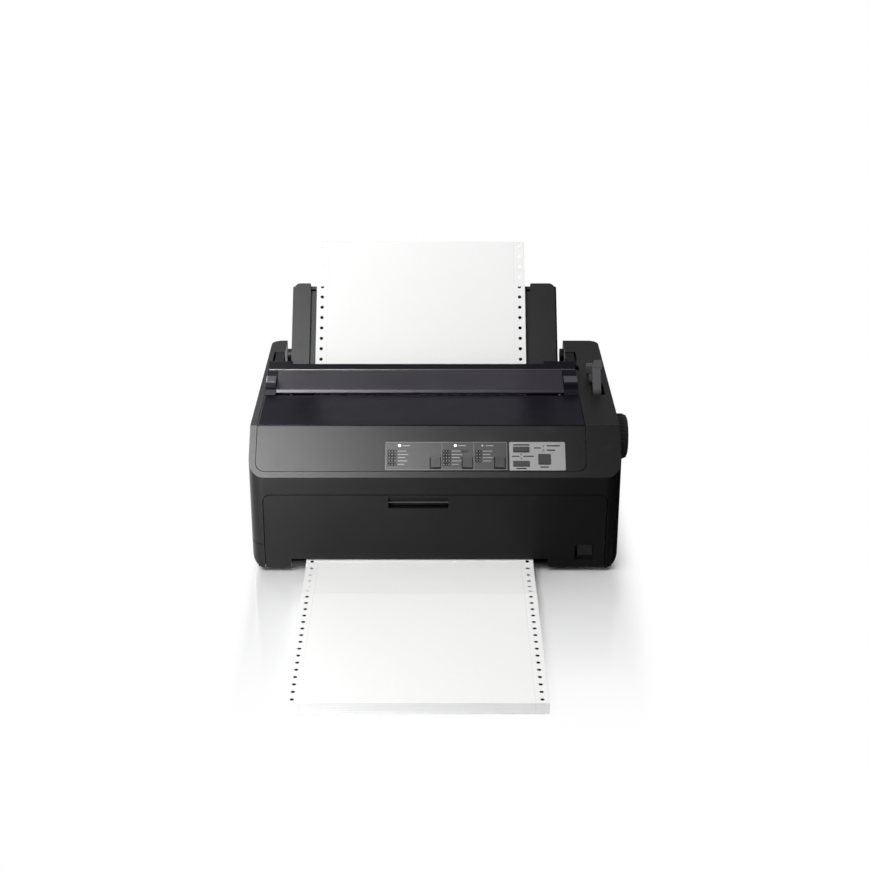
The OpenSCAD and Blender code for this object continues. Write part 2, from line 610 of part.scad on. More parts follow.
// phase of gear b that meshes with gear a standing at phase pa
function mesh(na, pa, nb, w) = w + 180 - (0.5 - (w - pa) * na / 360) * 360 / nb;
ph_idler = mesh(n_platen, 0, n_idler, way(platen_c, idler_c));
ph_tractor = mesh(n_idler, ph_idler, n_tractor, way(idler_c, tractor_c));
ph_pinion = mesh(n_idler, ph_idler, n_pinion, motor_dir);
module gear_at(c, n, phase, bore) color([0.9, 0.9, 0.85])
  translate([0, c[0], c[1]]) along_x(gear_x - gear_t, gear_x) gear(n, phase, bore);
module platen_gear() gear_at(platen_c, n_platen, 0, shaft_r + 0.02);
module idler_gear() gear_at(idler_c, n_idler, ph_idler, 3 + fit);
module tractor_gear() gear_at(tractor_c, n_tractor, ph_tractor, square_s / 2 + 0.02);
module motor_pinion() gear_at(motor_c, n_pinion, ph_pinion, 2.5 + fit);
module platen() color([0.05, 0.05, 0.05]) difference() {
  rod_x(paper_x - platen_l / 2, paper_x + platen_l / 2, platen_c, platen_r, $fn = 96);
  rod_x(paper_x - platen_l / 2 - 1, paper_x + platen_l / 2 + 1, platen_c, shaft_r + 0.02);
}
module platen_shaft() color(steel) rod_x(gear_x - gear_t - 1, knob_end - 4, platen_c, shaft_r);
module platen_knob() color(grey) translate([0, platen_y, platen_z]) rotate([90, 0, 90]) difference() {
  union() {
    translate([0, 0, half_w + knob_gap]) rotate_extrude($fn = 96)
      polygon([[0, 0], [knob_r - 1.5, 0], [knob_r, 1.5], [knob_r, knob_l - 4], [knob_r - 1.2, knob_l - 1.2],
        [knob_r - 4, knob_l], [0, knob_l]]);
    translate([0, 0, half_w - wall - 4]) cylinder(h = wall + 6, r = knob_boss);
    // finger ribs round the rim
    for (a = [0:10:350]) rotate(a) translate([knob_r - 0.1, 0, half_w + knob_gap + 2])
      cylinder(h = knob_l - 7, r = 0.8, $fn = 12);
  }
  translate([0, 0, half_w - 20]) cylinder(h = 20 + knob_gap + knob_l - 4, r = shaft_r + 0.02);
}

// ---- frames and paper path ----
frame_back = 178;
module frame_side() {
  polygon([[30, base_z + base_t], [30, 58], [50, 100], [56, 128], [186, 134], [186, 100], [frame_back, 60],
    [frame_back, base_z + base_t]]);
}
support_l = [16.6, -5];
support_c = tractor_c + support_l[0] * tr_u + support_l[1] * tr_n;
support_r = 2.5;
module frame_bores(x0) {
  rod_x(x0 - 1, x0 + frame_t + 1, platen_c, shaft_r + fit);
  rod_x(x0 - 1, x0 + frame_t + 1, tractor_c, square_s / 2 + fit);
  rod_x(x0 - 1, x0 + frame_t + 1, support_c, support_r + 0.02);
  rod_x(x0 - 1, x0 + frame_t + 1, [rod_y, rod_z], rod_r + 0.02);
}
module left_side_frame() color(steel) difference() {
  union() {
    along_x(frame_x[0] - frame_t, frame_x[0]) frame_side();
    rod_x(gear_x - gear_t - 1, frame_x[0] - 1, idler_c, 3);
  }
  frame_bores(frame_x[0] - frame_t);
  rod_x(frame_x[0] - frame_t - 1, frame_x[0] + 1, motor_c, 4);
}
module right_side_frame() color(steel) difference() {
  union() {
    along_x(frame_x[1], frame_x[1] + frame_t) frame_side();
    rod_x(frame_x[1] + 1, lever_x[1] + 2, lever_c, 3);
    rod_x(frame_x[1] + 1, thick_x[1] + 2, thick_c, 3);
  }
  frame_bores(frame_x[1]);
}
pcb_z = 28;
board_y = [184, body_d - 12];
stand = concat([for (x = [-132, 42], y = [board_y[0] + 8, board_y[1] - 14]) [x, y]],
  [for (x = [72, 164], y = [board_y[0] + 8, board_y[1] - 22]) [x, y]]);
module base_plate() color(steel) union() {
  box([-172, 26, base_z], [172, body_d - 8, base_z + base_t]);
  for (p = stand) translate([p[0], p[1], base_z]) cylinder(h = pcb_z - base_z, r = 3, $fn = 24);
}
trough = [46, 98];
trough_z = 15;
module paper_path_guide() color([0.3, 0.3, 0.31])
  along_x(frame_x[0], frame_x[1]) polygon([
    [9, climb_z(9) - 1.6], [trough[0], climb_z(trough[0]) - 1.6], [trough[0], trough_z], [trough[1], trough_z],
    [trough[1], climb_z(trough[1]) - 1.6], [platen_y - 26, climb_z(platen_y - 26) - 1.6],
    [platen_y - 25.5, climb_z(platen_y - 26) - 3], [trough[1] + 1.5, climb_z(trough[1]) - 2.6],
    [trough[1] + 1.5, trough_z - 1.5], [trough[0] - 1.5, trough_z - 1.5],
    [trough[0] - 1.5, climb_z(trough[0]) - 4.2],
    [9, climb_z(9) - 3.3]]);
module carriage_rod() color(steel) rod_x(frame_x[0] - frame_t, frame_x[1] + frame_t, [rod_y, rod_z], rod_r);
module tractor_support_rod() color(steel)
  rod_x(frame_x[0] - frame_t, frame_x[1] + frame_t, support_c, support_r);
belt_z = 84;
drive_x = frame_x[0] + 24; end_x = frame_x[1] - 24;
rail_y = 38;
lip_z = 62;
belt_y = [41, 47];
belt_in = pulley_r + 0.3;
module carriage_rail() color(steel) difference() {
  union() {
    box([frame_x[0], rail_y, lip_z], [frame_x[1], rail_y + 1.5, 98]);
    box([frame_x[0], rail_y, lip_z], [frame_x[1], 57, lip_z + 1.5]);
    rod_y(rail_y + 1, belt_y[1] + 1.5, end_x, belt_z, 3);
  }
  rod_y(rail_y - 1, rail_y + 2, drive_x, belt_z, 4);
}
module carriage_motor() color([0.25, 0.25, 0.26]) union() {
  rod_y(rail_y - 26, rail_y, drive_x, belt_z, motor_r);
  rod_y(rail_y - 1, belt_y[1] + 1.5, drive_x, belt_z, 2.5);
}
module paper_motor() color([0.25, 0.25, 0.26]) union() {
  rod_x(frame_x[0], frame_x[0] + 26, motor_c, motor_r);
  rod_x(gear_x - gear_t - 1, frame_x[0] + 1, motor_c, 2.5);
}
module pulley(x, bore) color([0.85, 0.85, 0.8]) difference() {
  rod_y(belt_y[0] - 0.2, belt_y[1] + 0.2, x, belt_z, pulley_r);
  rod_y(belt_y[0] - 1, belt_y[1] + 1, x, belt_z, bore + fit);
}
module drive_pulley() pulley(drive_x, 2.5);
module idler_pulley() pulley(end_x, 3);
module loop(r, y0, y1) {
  for (x = [drive_x, end_x]) rod_y(y0, y1, x, belt_z, r);
  box([drive_x, y0, belt_z - r], [end_x, y1, belt_z + r]);
}
module carriage_belt() color([0.12, 0.12, 0.12]) difference() {
  loop(belt_in + belt_t, belt_y[0], belt_y[1]);
  loop(belt_in, belt_y[0] - 1, belt_y[1] + 1);
}
module carriage() color([0.2, 0.2, 0.21]) translate([paper_x, 0, 0]) difference() {
  union() {
    box([-carriage_w / 2, 52, 73], [carriage_w / 2, 104, 91]);
    box([-carriage_w / 2, 49, lip_z + 1.8], [carriage_w / 2, 56, 79.5]);
    // tab that grips the lower run of the belt
    box([-9, rail_y + 2.5, belt_z - belt_in + 0.4], [9, 50, belt_z - belt_in + 2.6]);
    box([-9, rail_y + 2.5, belt_z - belt_in - belt_t - 2.6], [9, 50, belt_z - belt_in - belt_t - 0.4]);
  }
  rod_x(-carriage_w, carriage_w, [rod_y, rod_z], rod_r + fit);
}
nose_y = platen_y - platen_r - 4.8;
module print_head() color([0.15, 0.15, 0.16]) translate([paper_x, 0, 0]) union() {
  box([-15, 66, 91], [15, 103, 97]);
  for (k = [0:6]) box([-15, 66 + 5.6 * k, 96], [15, 69.4 + 5.6 * k, 116]);
  box([-10, 102, 91], [10, 106, 108]);
  box([-5, 105, 90], [5, nose_y, 101]);
}
cart_x = [frame_x[0] + 12, frame_x[1] - 22];
cart_z = [120, 136];
turn_c = [cart_x[0] + 22, 76];
module ribbon_cartridge() color([0.1, 0.1, 0.1]) difference() {
  union() {
    box([cart_x[0], 58, cart_z[0]], [cart_x[1], 112, cart_z[1]]);
    box([frame_x[0], 70, cart_z[0]], [cart_x[0] + 1, 90, cart_z[0] + 5]);
    box([cart_x[1] - 1, 70, cart_z[0]], [frame_x[1], 90, cart_z[0] + 5]);
    for (x = [cart_x[0], cart_x[1] - 7]) {
      box([x, 104, 88], [x + 7, 112, cart_z[0] + 1]);
      box([x, 111, 88], [x + 7, nose_y + 2.2, 104]);
    }
    // inked ribbon stretched between the two arms
    box([cart_x[0] + 1, nose_y + 1.2, 90], [cart_x[1] - 1, nose_y + 1.5, 102]);
  }
  translate([turn_c[0], turn_c[1], cart_z[1] - 8]) cylinder(h = 9, r = 2.5 + fit);
}
module ribbon_knob() color([0.3, 0.3, 0.31]) translate([turn_c[0], turn_c[1], 0]) union() {
  translate([0, 0, cart_z[1] - 7.5]) cylinder(h = 9, r = 2.5);
  translate([0, 0, cart_z[1] + 0.3]) cylinder(h = 6, r = 9);
  translate([0, 0, cart_z[1] + 6]) box([-7, -1.2, 0], [7, 1.2, 2.5]);
}

// ---- tractors: local x outward edge to inner edge, y up the climb, z out of the paper ----
wheel_x = tractor_w / 2;
out_x = [cols[0] - wheel_x, cols[1] + wheel_x];
module in_tractor(s) {
  translate([s < 0 ? out_x[0] : out_x[1], tractor_y, tractor_z]) rotate([climb, 0, 0])
    mirror([s < 0 ? 0 : 1, 0, 0]) children();
}
lid_axis = [-2.5, 9.6];
lid_pin = 1.5;
wheel_t = 6;
bed = pin_r - 0.3;
module tractor(s) color([0.2, 0.2, 0.21]) in_tractor(s) difference() {
  union() {
    box([0, -tractor_l / 2, -9], [tractor_w, tractor_l / 2, bed]);
    for (y = [-tractor_l / 2, tractor_l / 2 - 4]) {
      rod_y(y, y + 4, lid_axis[0], lid_axis[1], 2.6);
      box([lid_axis[0] - 2.6, y, lid_axis[1] - 5], [1, y + 4, lid_axis[1]]);
    }
  }
  box([wheel_x - wheel_t / 2 - 0.5, -pin_r - 3, -pin_r - 4],
    [wheel_x + wheel_t / 2 + 0.5, pin_r + 3, pin_r + 4]);
  rod_x(-9, tractor_w + 1, [0, 0], square_s * 0.72 + 0.3);
  rod_x(-9, tractor_w + 1, support_l, support_r + fit);
  rod_x(tractor_w - 5, tractor_w + 1, lock_p, 1.95 + fit);
  rod_y(-tractor_l, tractor_l, lid_axis[0], lid_axis[1], lid_pin + fit);
}
lock_p = [-13, 4];
module lock_lever(s) color([0.75, 0.75, 0.72]) in_tractor(s) union() {
  rod_x(tractor_w - 4.5, tractor_w + 0.5, lock_p, 1.95);
  rod_x(tractor_w + 0.3, tractor_w + 3.3, lock_p, 4);
  box([tractor_w + 0.3, lock_p[0] - 8, lock_p[1] - 1.5], [tractor_w + 3.3, lock_p[0], lock_p[1] + 1.5]);
}
module tractor_lid(s) color([0.25, 0.25, 0.26]) in_tractor(s) difference() {
  union() {
    box([lid_axis[0] - 1.5, -15, pin_r + 0.8], [tractor_w - 1.5, 15, pin_r + 2.8]);
    box([lid_axis[0] - 1.5, -14.5, lid_axis[1]], [lid_axis[0] + 1.5, 14.5, pin_r + 1]);
    rod_y(-tractor_l / 2, tractor_l / 2, lid_axis[0], lid_axis[1], lid_pin);
  }
  box([wheel_x - 2.6, -9, 0], [wheel_x + 2.6, 9, pin_r + 4]);
}
// place along the web of the point square above the tractor shaft, and the pin nearest to it
touch = tractor_c + web_off * tr_n;
touch_i = [for (i = [0:path_n - 2]) if (path[i][0] <= touch[0] && path[i + 1][0] > touch[0]) i][0];
touch_s = run[touch_i] + norm(touch - path[touch_i]);
miss = let(k = round((touch_s - hole_in) / hole_pitch)) hole_in + k * hole_pitch - touch_s;
pin_a = 90 - miss / pin_r * 180 / PI;
module pin_wheel(s) color([0.85, 0.85, 0.8]) in_tractor(s) difference() {
  union() {
    rod_x(wheel_x - wheel_t / 2, wheel_x + wheel_t / 2, [0, 0], pin_r - 0.4);
    for (k = [0:5]) translate([wheel_x, 0, 0]) rotate([pin_a + k * 60, 0, 0])
      rod_y(pin_r - 2, pin_r + 1.9, 0, 0, 1.25, $fn = 24);
  }
  rotate([-climb, 0, 0]) translate([-9, 0, 0]) rotate([90, 0, 90]) linear_extrude(tractor_w + 18)
    square(square_s + 0.2, center = true);
}
module tractor_shaft() color(steel) union() {
  rod_x(gear_x - gear_t - 1, frame_x[1] + frame_t + 4, tractor_c, square_s / 2);
  translate([0, tractor_y, tractor_z])
    box([frame_x[0] + 1, -square_s / 2, -square_s / 2], [frame_x[1] - 1, square_s / 2, square_s / 2]);
}

// ---- levers ----
module release_lever() color([0.3, 0.3, 0.31]) difference() {
  union() {
    rod_x(lever_x[0], lever_x[1], lever_c, 7);
    along_x(lever_x[0], lever_x[1])
      polygon([[142, 114], [138, 135], [137.3, 147], [138.6, 152], [142.5, 157.5], [156.5, 171], [163, 174.5],
        [165.5, 171.5], [162, 166], [148, 152], [145.5, 146], [145.5, 138], [151, 116]]);
    // finger cap, set outward
    along_x(lever_x[0] + 2.2, lever_x[1] + 2)
      polygon([[156, 169], [156.6, 172.2], [163.6, 177.2], [165.6, 177.2], [168.2, 173.6], [167.4, 170.6],
        [160, 165]]);
  }
  rod_x(lever_x[0] - 1, lever_x[1] + 1, lever_c, 3 + fit);
}
module thickness_lever() color([0.3, 0.3, 0.31]) difference() {
  union() {
    rod_x(thick_x[0], thick_x[1], thick_c, 6);
    along_x(thick_x[0], thick_x[1])
      polygon([[174, 127], [178, 148], [181.5, 157], [189, 157], [184, 146], [183, 127]]);
    // finger piece
    along_x(thick_x[0] - 2.7, thick_x[1] + 0.7)
      polygon([[180.6, 155], [181.6, 163.6], [184, 165.6], [187.6, 165], [190, 162], [189.4, 155]]);
  }
  rod_x(thick_x[0] - 1, thick_x[1] + 1, thick_c, 3 + fit);
}

// ---- rear guide ----
module on_lean() { translate([0, sheet_p[0], sheet_p[1]]) rotate([90 - lean, 0, 0]) children(); }
guide_x = [-163, -144, 110.5, 139];
guide_face = -3.9;
slide_l = 45;
edge_t = 3.1;
guide_low = -8;
plate_end = guide_l - 2.5;
slot_y = [plate_end - 6.1, plate_end - 3.7];
guide_back = guide_face - guide_t;
guide_end = [guide_x[0] - 2, guide_x[3] + 2];
ear_x = [[guide_x[0] - 8, guide_x[0] - 3], [guide_x[3] + 5.5, guide_x[3] + 10.5]];
module guide_slots() {
  box([guide_x[0] + 4.5, slot_y[0], guide_back - 0.4], [guide_x[0] + 14.5 + slide_l, slot_y[1], 0]);
  box([guide_x[3] - 19.5 - slide_l, slot_y[0], guide_back - 0.4], [guide_x[3] - 9.5, slot_y[1], 0]);
}
module rear_paper_guide() color([0.1, 0.1, 0.1]) union() {
  difference() {
    on_lean() translate([0, 0, guide_back]) linear_extrude(guide_t)
      plate(guide_end[0], guide_end[1], -20, plate_end, 0, 2);
    on_lean() guide_slots();
    box([-half_w, 0, 0], [half_w, body_d, deck_z + 1]);
  }
  // channel behind the slots, in which the edge guides' hooks slide
  on_lean() difference() {
    box([guide_end[0] + 0.5, slot_y[0] - 4, guide_back - 5],
      [guide_end[1] - 0.5, slot_y[1] + 3, guide_back + 0.5]);
    box([guide_end[0] + 2, slot_y[0] - 2.5, guide_back - 3.5],
      [guide_end[1] - 2, slot_y[1] + 1.5, guide_back + 1]);
  }
  // bracket that stands on the floor of the recess, with an ear at each end
  box([guide_end[0], deck_front + 2.5, shelf_z], [guide_end[1], deck_front + 5.5, deck_z + 2.4]);
  box([ear_x[0][0], deck_front + 2.5, shelf_z], [ear_x[1][1], 236, shelf_z + 2.5]);
  for (x = ear_x) {
    box([x[0] + 0.3, 228, shelf_z + 1], [x[1] - 0.3, 241, 157]);
    rod_x(x[0], x[1], [234.5, 157], 7.5);
  }
}
module edge_guide(x0, x1, t0, out) color([0.1, 0.1, 0.1]) on_lean() union() {
  translate([0, 0, guide_face + 0.4]) linear_extrude(edge_t) union() {
    plate(x0 + (out < 0 ? 0 : 3), x1 - (out < 0 ? 3 : 0), guide_low, guide_l, 1, guide_r);
    plate(x0 + (out < 0 ? guide_r : 0), x1 - (out < 0 ? 0 : guide_r), guide_low, guide_l, 1, 1.5);
  }
  box([t0, slot_y[0] + 0.3, guide_back - 0.6], [t0 + 9.5, slot_y[1] - 0.3, guide_face + 1]);
  box([t0, slot_y[0] - 1.9, guide_back - 3], [t0 + 9.5, slot_y[1] + 0.9, guide_back - 0.4]);
}
module left_edge_guide() edge_guide(guide_x[0], guide_x[1], guide_x[0] + 4.8, -1);
module right_edge_guide() edge_guide(guide_x[2], guide_x[3], guide_x[3] - 19.2, 1);

// ---- boards ----
module main_board() color([0.1, 0.35, 0.2]) union() {
  box([-140, board_y[0], pcb_z], [50, board_y[1], pcb_z + 1.6]);
  for (c = [[-110, 215, 32], [-40, 210, 40], [20, 225, 22]])
    box([c[0], c[1], pcb_z + 1], [c[0] + c[2], c[1] + 18, pcb_z + 5]);
  box([port_par[0], body_d - 20, pcb_z + 1], [port_par[1], body_d - 0.5, port_z + port_par_h]);
  box([port_sq[0], body_d - 18, pcb_z + 1], [port_sq[1], body_d - 0.5, port_z + port_sq_h]);
}
module power_supply() color([0.5, 0.4, 0.2]) union() {
  box([64, board_y[0], pcb_z], [172, board_y[1] - 12, pcb_z + 1.6]);
  box([72, 200, pcb_z + 1], [118, 244, pcb_z + 36]);
  for (p = [[134, 205], [152, 205]]) translate([p[0], p[1], pcb_z + 1]) cylinder(h = 28, r = 8);
  box([128, board_y[1] - 58, pcb_z + 1], [132, board_y[1] - 20, pcb_z + 40]);
}
module mains_inlet() color([0.05, 0.05, 0.05]) difference() {
  union() {
    box([inlet_x[0] + 0.2, body_d - 20, inlet_z[0] + 0.2],
      [inlet_x[1] - 0.2, body_d - 0.3, inlet_z[1] - 0.2]);
    box([inlet_x[0] - 6, body_d - wall - 2.5, inlet_z[0] - 1.5],
      [inlet_x[1] + 6, body_d - wall, inlet_z[1] + 6]);
  }
  box([inlet_x[0] + 2.2, body_d - 16, inlet_z[0] + 2.2], [inlet_x[1] - 2.2, body_d + 1, inlet_z[1] - 2.2]);
}
module left_pin_wheel() pin_wheel(-1);
module right_pin_wheel() pin_wheel(1);
module left_tractor() tractor(-1);
module right_tractor() tractor(1);
module left_tractor_lid() tractor_lid(-1);
module right_tractor_lid() tractor_lid(1);
module left_lock_lever() lock_lever(-1);
module right_lock_lever() lock_lever(1);
module left_square_button() color(grey) button(keys[0]);
module middle_square_button() color(grey) button(keys[1]);
module right_square_button() color(grey) button(keys[2]);
module rear_wide_button() color(grey) button(keys[3]);
module front_wide_button() color(grey) button(keys[4]);
module end_square_button() color(grey) button(keys[5]);

translate(shift) lower_case();
translate(shift) upper_case();
translate(shift) control_panel();
translate(shift) rubber_feet();
translate(shift) base_plate();
translate(shift) left_side_frame();
translate(shift) right_side_frame();
translate(shift) paper_path_guide();
translate(shift) carriage_rod();
translate(shift) carriage_rail();
translate(shift) ribbon_cartridge();
translate(shift) tractor_support_rod();
translate(shift) main_board();
translate(shift) power_supply();
translate(shift) mains_inlet();
translate(shift) button_board();
translate(shift) grey_label();
translate(shift) panel_lamps();
translate(shift) carriage_motor();
translate(shift) paper_motor();
translate(shift) rear_paper_guide();
translate(shift) paper_stack();
translate(shift) paper_web();
translate(shift) carriage_belt();
translate(shift) front_cover();
translate(shift) cover_frame();
translate(shift) cover_window();
translate(shift) tear_off_flap();
translate(shift) platen();
translate(shift) platen_shaft();
translate(shift) platen_gear();
translate(shift) platen_knob();
translate(shift) motor_pinion();
translate(shift) idler_gear();
translate(shift) tractor_shaft();
translate(shift) tractor_gear();
translate(shift) left_pin_wheel();
translate(shift) right_pin_wheel();
translate(shift) left_tractor();
translate(shift) right_tractor();
translate(shift) left_tractor_lid();
translate(shift) right_tractor_lid();
translate(shift) left_lock_lever();
translate(shift) right_lock_lever();
translate(shift) carriage();
translate(shift) print_head();
translate(shift) drive_pulley();
translate(shift) idler_pulley();
translate(shift) release_lever();
translate(shift) thickness_lever();
translate(shift) power_rocker();
translate(shift) left_square_button();
translate(shift) middle_square_button();
translate(shift) right_square_button();
translate(shift) rear_wide_button();
translate(shift) front_wide_button();
translate(shift) end_square_button();
translate(shift) left_edge_guide();
translate(shift) right_edge_guide();
translate(shift) ribbon_knob();
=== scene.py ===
"""Dot matrix printer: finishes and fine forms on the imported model, with a plain studio round it."""
import json
import math

import bpy
from mathutils import Matrix, Vector


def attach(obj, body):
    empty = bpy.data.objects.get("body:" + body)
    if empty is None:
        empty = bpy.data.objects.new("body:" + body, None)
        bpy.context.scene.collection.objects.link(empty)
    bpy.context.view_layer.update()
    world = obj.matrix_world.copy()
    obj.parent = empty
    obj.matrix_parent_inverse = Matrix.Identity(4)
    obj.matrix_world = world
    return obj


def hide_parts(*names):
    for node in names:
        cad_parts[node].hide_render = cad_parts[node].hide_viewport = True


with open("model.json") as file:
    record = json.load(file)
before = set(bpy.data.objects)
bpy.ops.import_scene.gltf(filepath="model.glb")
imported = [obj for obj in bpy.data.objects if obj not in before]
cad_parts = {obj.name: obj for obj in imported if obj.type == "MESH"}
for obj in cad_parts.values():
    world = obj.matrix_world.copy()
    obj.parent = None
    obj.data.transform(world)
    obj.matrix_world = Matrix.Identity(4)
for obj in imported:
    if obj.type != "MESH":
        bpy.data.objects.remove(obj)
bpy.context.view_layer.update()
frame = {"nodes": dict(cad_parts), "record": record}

bl_info = {
    "name": "Dot matrix printer",
    "version": (1, 0, 0),
    "blender": (4, 5, 0),
    "location": "View3D > Sidebar > Printer",
    "description": "Finishes and fine forms of a desktop dot matrix printer",
    "category": "Object",
}

MM = 0.001
# from the machine's own zero, on the desk under the middle of the case's front, to the row frame's
SHIFT = Vector((-10, -13.7, 0)) * MM
# the sloping panel, in millimetres: height of its lower edge, its rise and its run
PANEL_FOOT, PANEL_RISE, PANEL_RUN = 109.5, 40.5, 44
# form paper, in millimetres: its middle across the machine, its width and its strips with the holes
PAPER_MID, PAPER_WIDTH, PAPER_STRIP = -16.3, 241.3, 12.7
# feed holes of the stack, in metres of the row frame: two columns, first row, spacing, and how many
HOLE_COLUMNS, HOLE_FIRST, HOLE_PITCH, HOLE_ROWS = (-0.1404, 0.0882), -0.28195, 0.0127, 16
# camera, in millimetres of the machine's frame, and how far it looks down, in degrees
CAMERA_PLACE, CAMERA_TILT = (0, -1519, 820.8), 23.576
# where the case stands on the floor, in metres: left and right side, middle and half its depth
FOOT_LEFT, FOOT_RIGHT, FOOT_MID, FOOT_HALF = -0.192, 0.172, 0.137, 0.15


def at(x, y, z):
    """A point given in the machine's own millimetres, in the row frame."""
    return Vector((x, y, z)) * MM + SHIFT


# from a plane laid on the control panel (x across, y up the slope, z out) to the row frame
ON_SLOPE = (Matrix.Translation(at(0, 0, PANEL_FOOT))
            @ Matrix.Rotation(math.atan2(PANEL_RISE, PANEL_RUN), 4, "X"))


# ---------------------------------------------------------------- shader maths
class Term:
    """A shader socket that takes part in Python expressions."""

    def __init__(self, paint, socket):
        self.paint, self.socket = paint, socket

    def _with(self, operation, *values):
        n = self.paint.node("ShaderNodeMath", {"operation": operation}, dict(enumerate(values)))
        return Term(self.paint, n.outputs[0])

    def __add__(self, o): return self._with("ADD", self, o)
    def __radd__(self, o): return self._with("ADD", o, self)
    def __sub__(self, o): return self._with("SUBTRACT", self, o)
    def __rsub__(self, o): return self._with("SUBTRACT", o, self)
    def __mul__(self, o): return self._with("MULTIPLY", self, o)
    def __rmul__(self, o): return self._with("MULTIPLY", o, self)
    def size(self): return self._with("ABSOLUTE", self)
    def root(self): return self._with("SQRT", self)
    def top(self, o): return self._with("MAXIMUM", self, o)

    def ramp(self, a, b, c=0.0, d=1.0):
        """Runs smoothly from c at a to d at b."""
        n = self.paint.node("ShaderNodeMapRange", {"interpolation_type": "SMOOTHSTEP"},
                            {"Value": self, "From Min": a, "From Max": b, "To Min": c, "To Max": d})
        return Term(self.paint, n.outputs[0])


class Nodes:
    """A node tree and the ways to fill it."""

    def __init__(self, tree):
        self.tree = tree
        tree.nodes.clear()

    def node(self, kind, settings=None, inputs=None):
        n = self.tree.nodes.new(kind)
        for key, value in (settings or {}).items():
            setattr(n, key, value)
        for key, value in (inputs or {}).items():
            self.feed(n.inputs[key], value)
        return n

    def feed(self, socket, value):
        if isinstance(value, Term):
            self.tree.links.new(value.socket, socket)
        elif isinstance(value, bpy.types.NodeSocket):
            self.tree.links.new(value, socket)
        else:
            socket.default_value = value

    def rays(self, *kinds):
        """1 for light paths of the named kinds, 0 for the others."""
        path = self.node("ShaderNodeLightPath")
        found = Term(self, path.outputs[f"Is {kinds[0]} Ray"])
        for kind in kinds[1:]:
            found = found.top(Term(self, path.outputs[f"Is {kind} Ray"]))
        return found

    def mix(self, factor, a, b):
        """The shader a where factor is 0, b where it is 1."""
        return self.node("ShaderNodeMixShader", {}, {0: factor, 1: a.outputs[0], 2: b.outputs[0]})


class Paint(Nodes):
    """One material: a Principled shader and the nodes that feed it."""

    def __init__(self, name, base, rough, **constants):
        self.mat = bpy.data.materials.new(name)
        self.mat.use_nodes = True
        super().__init__(self.mat.node_tree)
        self.out = self.node("ShaderNodeOutputMaterial")
        self.shader = self.node("ShaderNodeBsdfPrincipled", {},
                                {"Roughness": rough, "Base Color": (*base, 1)})
        for key, value in constants.items():
            self.shader.inputs[key.replace("_", " ")].default_value = value
        self.tree.links.new(self.shader.outputs[0], self.out.inputs["Surface"])
        self._place = None

    def place(self):
        if self._place is None:
            self._place = self.node("ShaderNodeTexCoord").outputs["Object"]
        return self._place

    def axes(self):
        n = self.node("ShaderNodeSeparateXYZ", {}, {0: self.place()})
        return [Term(self, s) for s in n.outputs]

    def noise(self, scale, detail=3.0, stretch=None):
        where = self.place()
        if stretch:
            where = self.node("ShaderNodeMapping", {},
                              {"Vector": where, "Scale": stretch}).outputs[0]
        n = self.node("ShaderNodeTexNoise", {}, {"Vector": where, "Scale": scale, "Detail": detail})
        return Term(self, n.outputs[0])

    def blend(self, factor, a, b):
        """Colour a where factor is 0, b where it is 1."""
        n = self.node("ShaderNodeMix", {"data_type": "RGBA"})
        self.feed(n.inputs[0], factor)
        self.feed(n.inputs[6], a if isinstance(a, bpy.types.NodeSocket) else (*a, 1))
        self.feed(n.inputs[7], b if isinstance(b, bpy.types.NodeSocket) else (*b, 1))
        return n.outputs[2]

    def color(self, value):
        self.feed(self.shader.inputs["Base Color"], value)

    def rough(self, value):
        self.feed(self.shader.inputs["Roughness"], value)

    def bump(self, height, distance, strength=1.0):
        n = self.node("ShaderNodeBump", {},
                      {"Height": height, "Distance": distance, "Strength": strength})
        self.feed(self.shader.inputs["Normal"], n.outputs[0])


def shade(c, k):
    """Colour c, k times as bright."""
    return tuple(max(0.0, v * k) for v in c)


# ---------------------------------------------------------------- finishes
def moulded(name, base, rough, grain=0.00003, grain_scale=1400, spec=0.15, change=0.18):
    """Textured injection moulding: fine grain, faint handling marks."""
    p = Paint(name, base, rough, Specular_IOR_Level=spec)
    fine = p.noise(grain_scale, 4)
    cloud = p.noise(9, 3)
    dust = p.noise(60, 5).ramp(0.55, 0.8)
    p.color(p.blend(cloud.ramp(0.3, 0.7) * 0.6 + fine * 0.4,
                    shade(base, 1 - change), shade(base, 1 + change)))
    p.rough(cloud * 0.10 + (rough - 0.05) + dust * 0.05)
    p.bump(fine, grain, 0.6)
    return p.mat


def smoked():
    """Smoked, half clear moulding of the cover's window."""
    p = Paint("smoked_cover", (0.007, 0.006, 0.011), 0.3, Transmission_Weight=0.2, IOR=1.46,
              Specular_IOR_Level=0.014, Specular_Tint=(0.8, 0.72, 1.0, 1.0))
    haze = p.noise(40, 4)
    p.color(p.blend(haze.ramp(0.3, 0.7), (0.006, 0.0055, 0.010), (0.008, 0.0075, 0.013)))
    p.rough(p.noise(15, 3) * 0.05 + 0.28)
    p.bump(p.noise(4, 2), 0.0004, 0.3)
    return p.mat


def smoked_flap():
    """The flap's smoked plastic, with a broader sheen and nothing to see through it."""
    p = Paint("smoked_flap", (0.011, 0.010, 0.015), 0.4, Specular_IOR_Level=0.38,
              Specular_Tint=(0.92, 0.87, 1.0, 1.0))
    haze = p.noise(40, 4)
    p.color(p.blend(haze.ramp(0.3, 0.7), (0.009, 0.008, 0.013), (0.013, 0.012, 0.018)))
    p.rough(p.noise(20, 3) * 0.1 + 0.36)
    p.bump(p.noise(1500, 3), 0.00002, 0.5)
    return p.mat


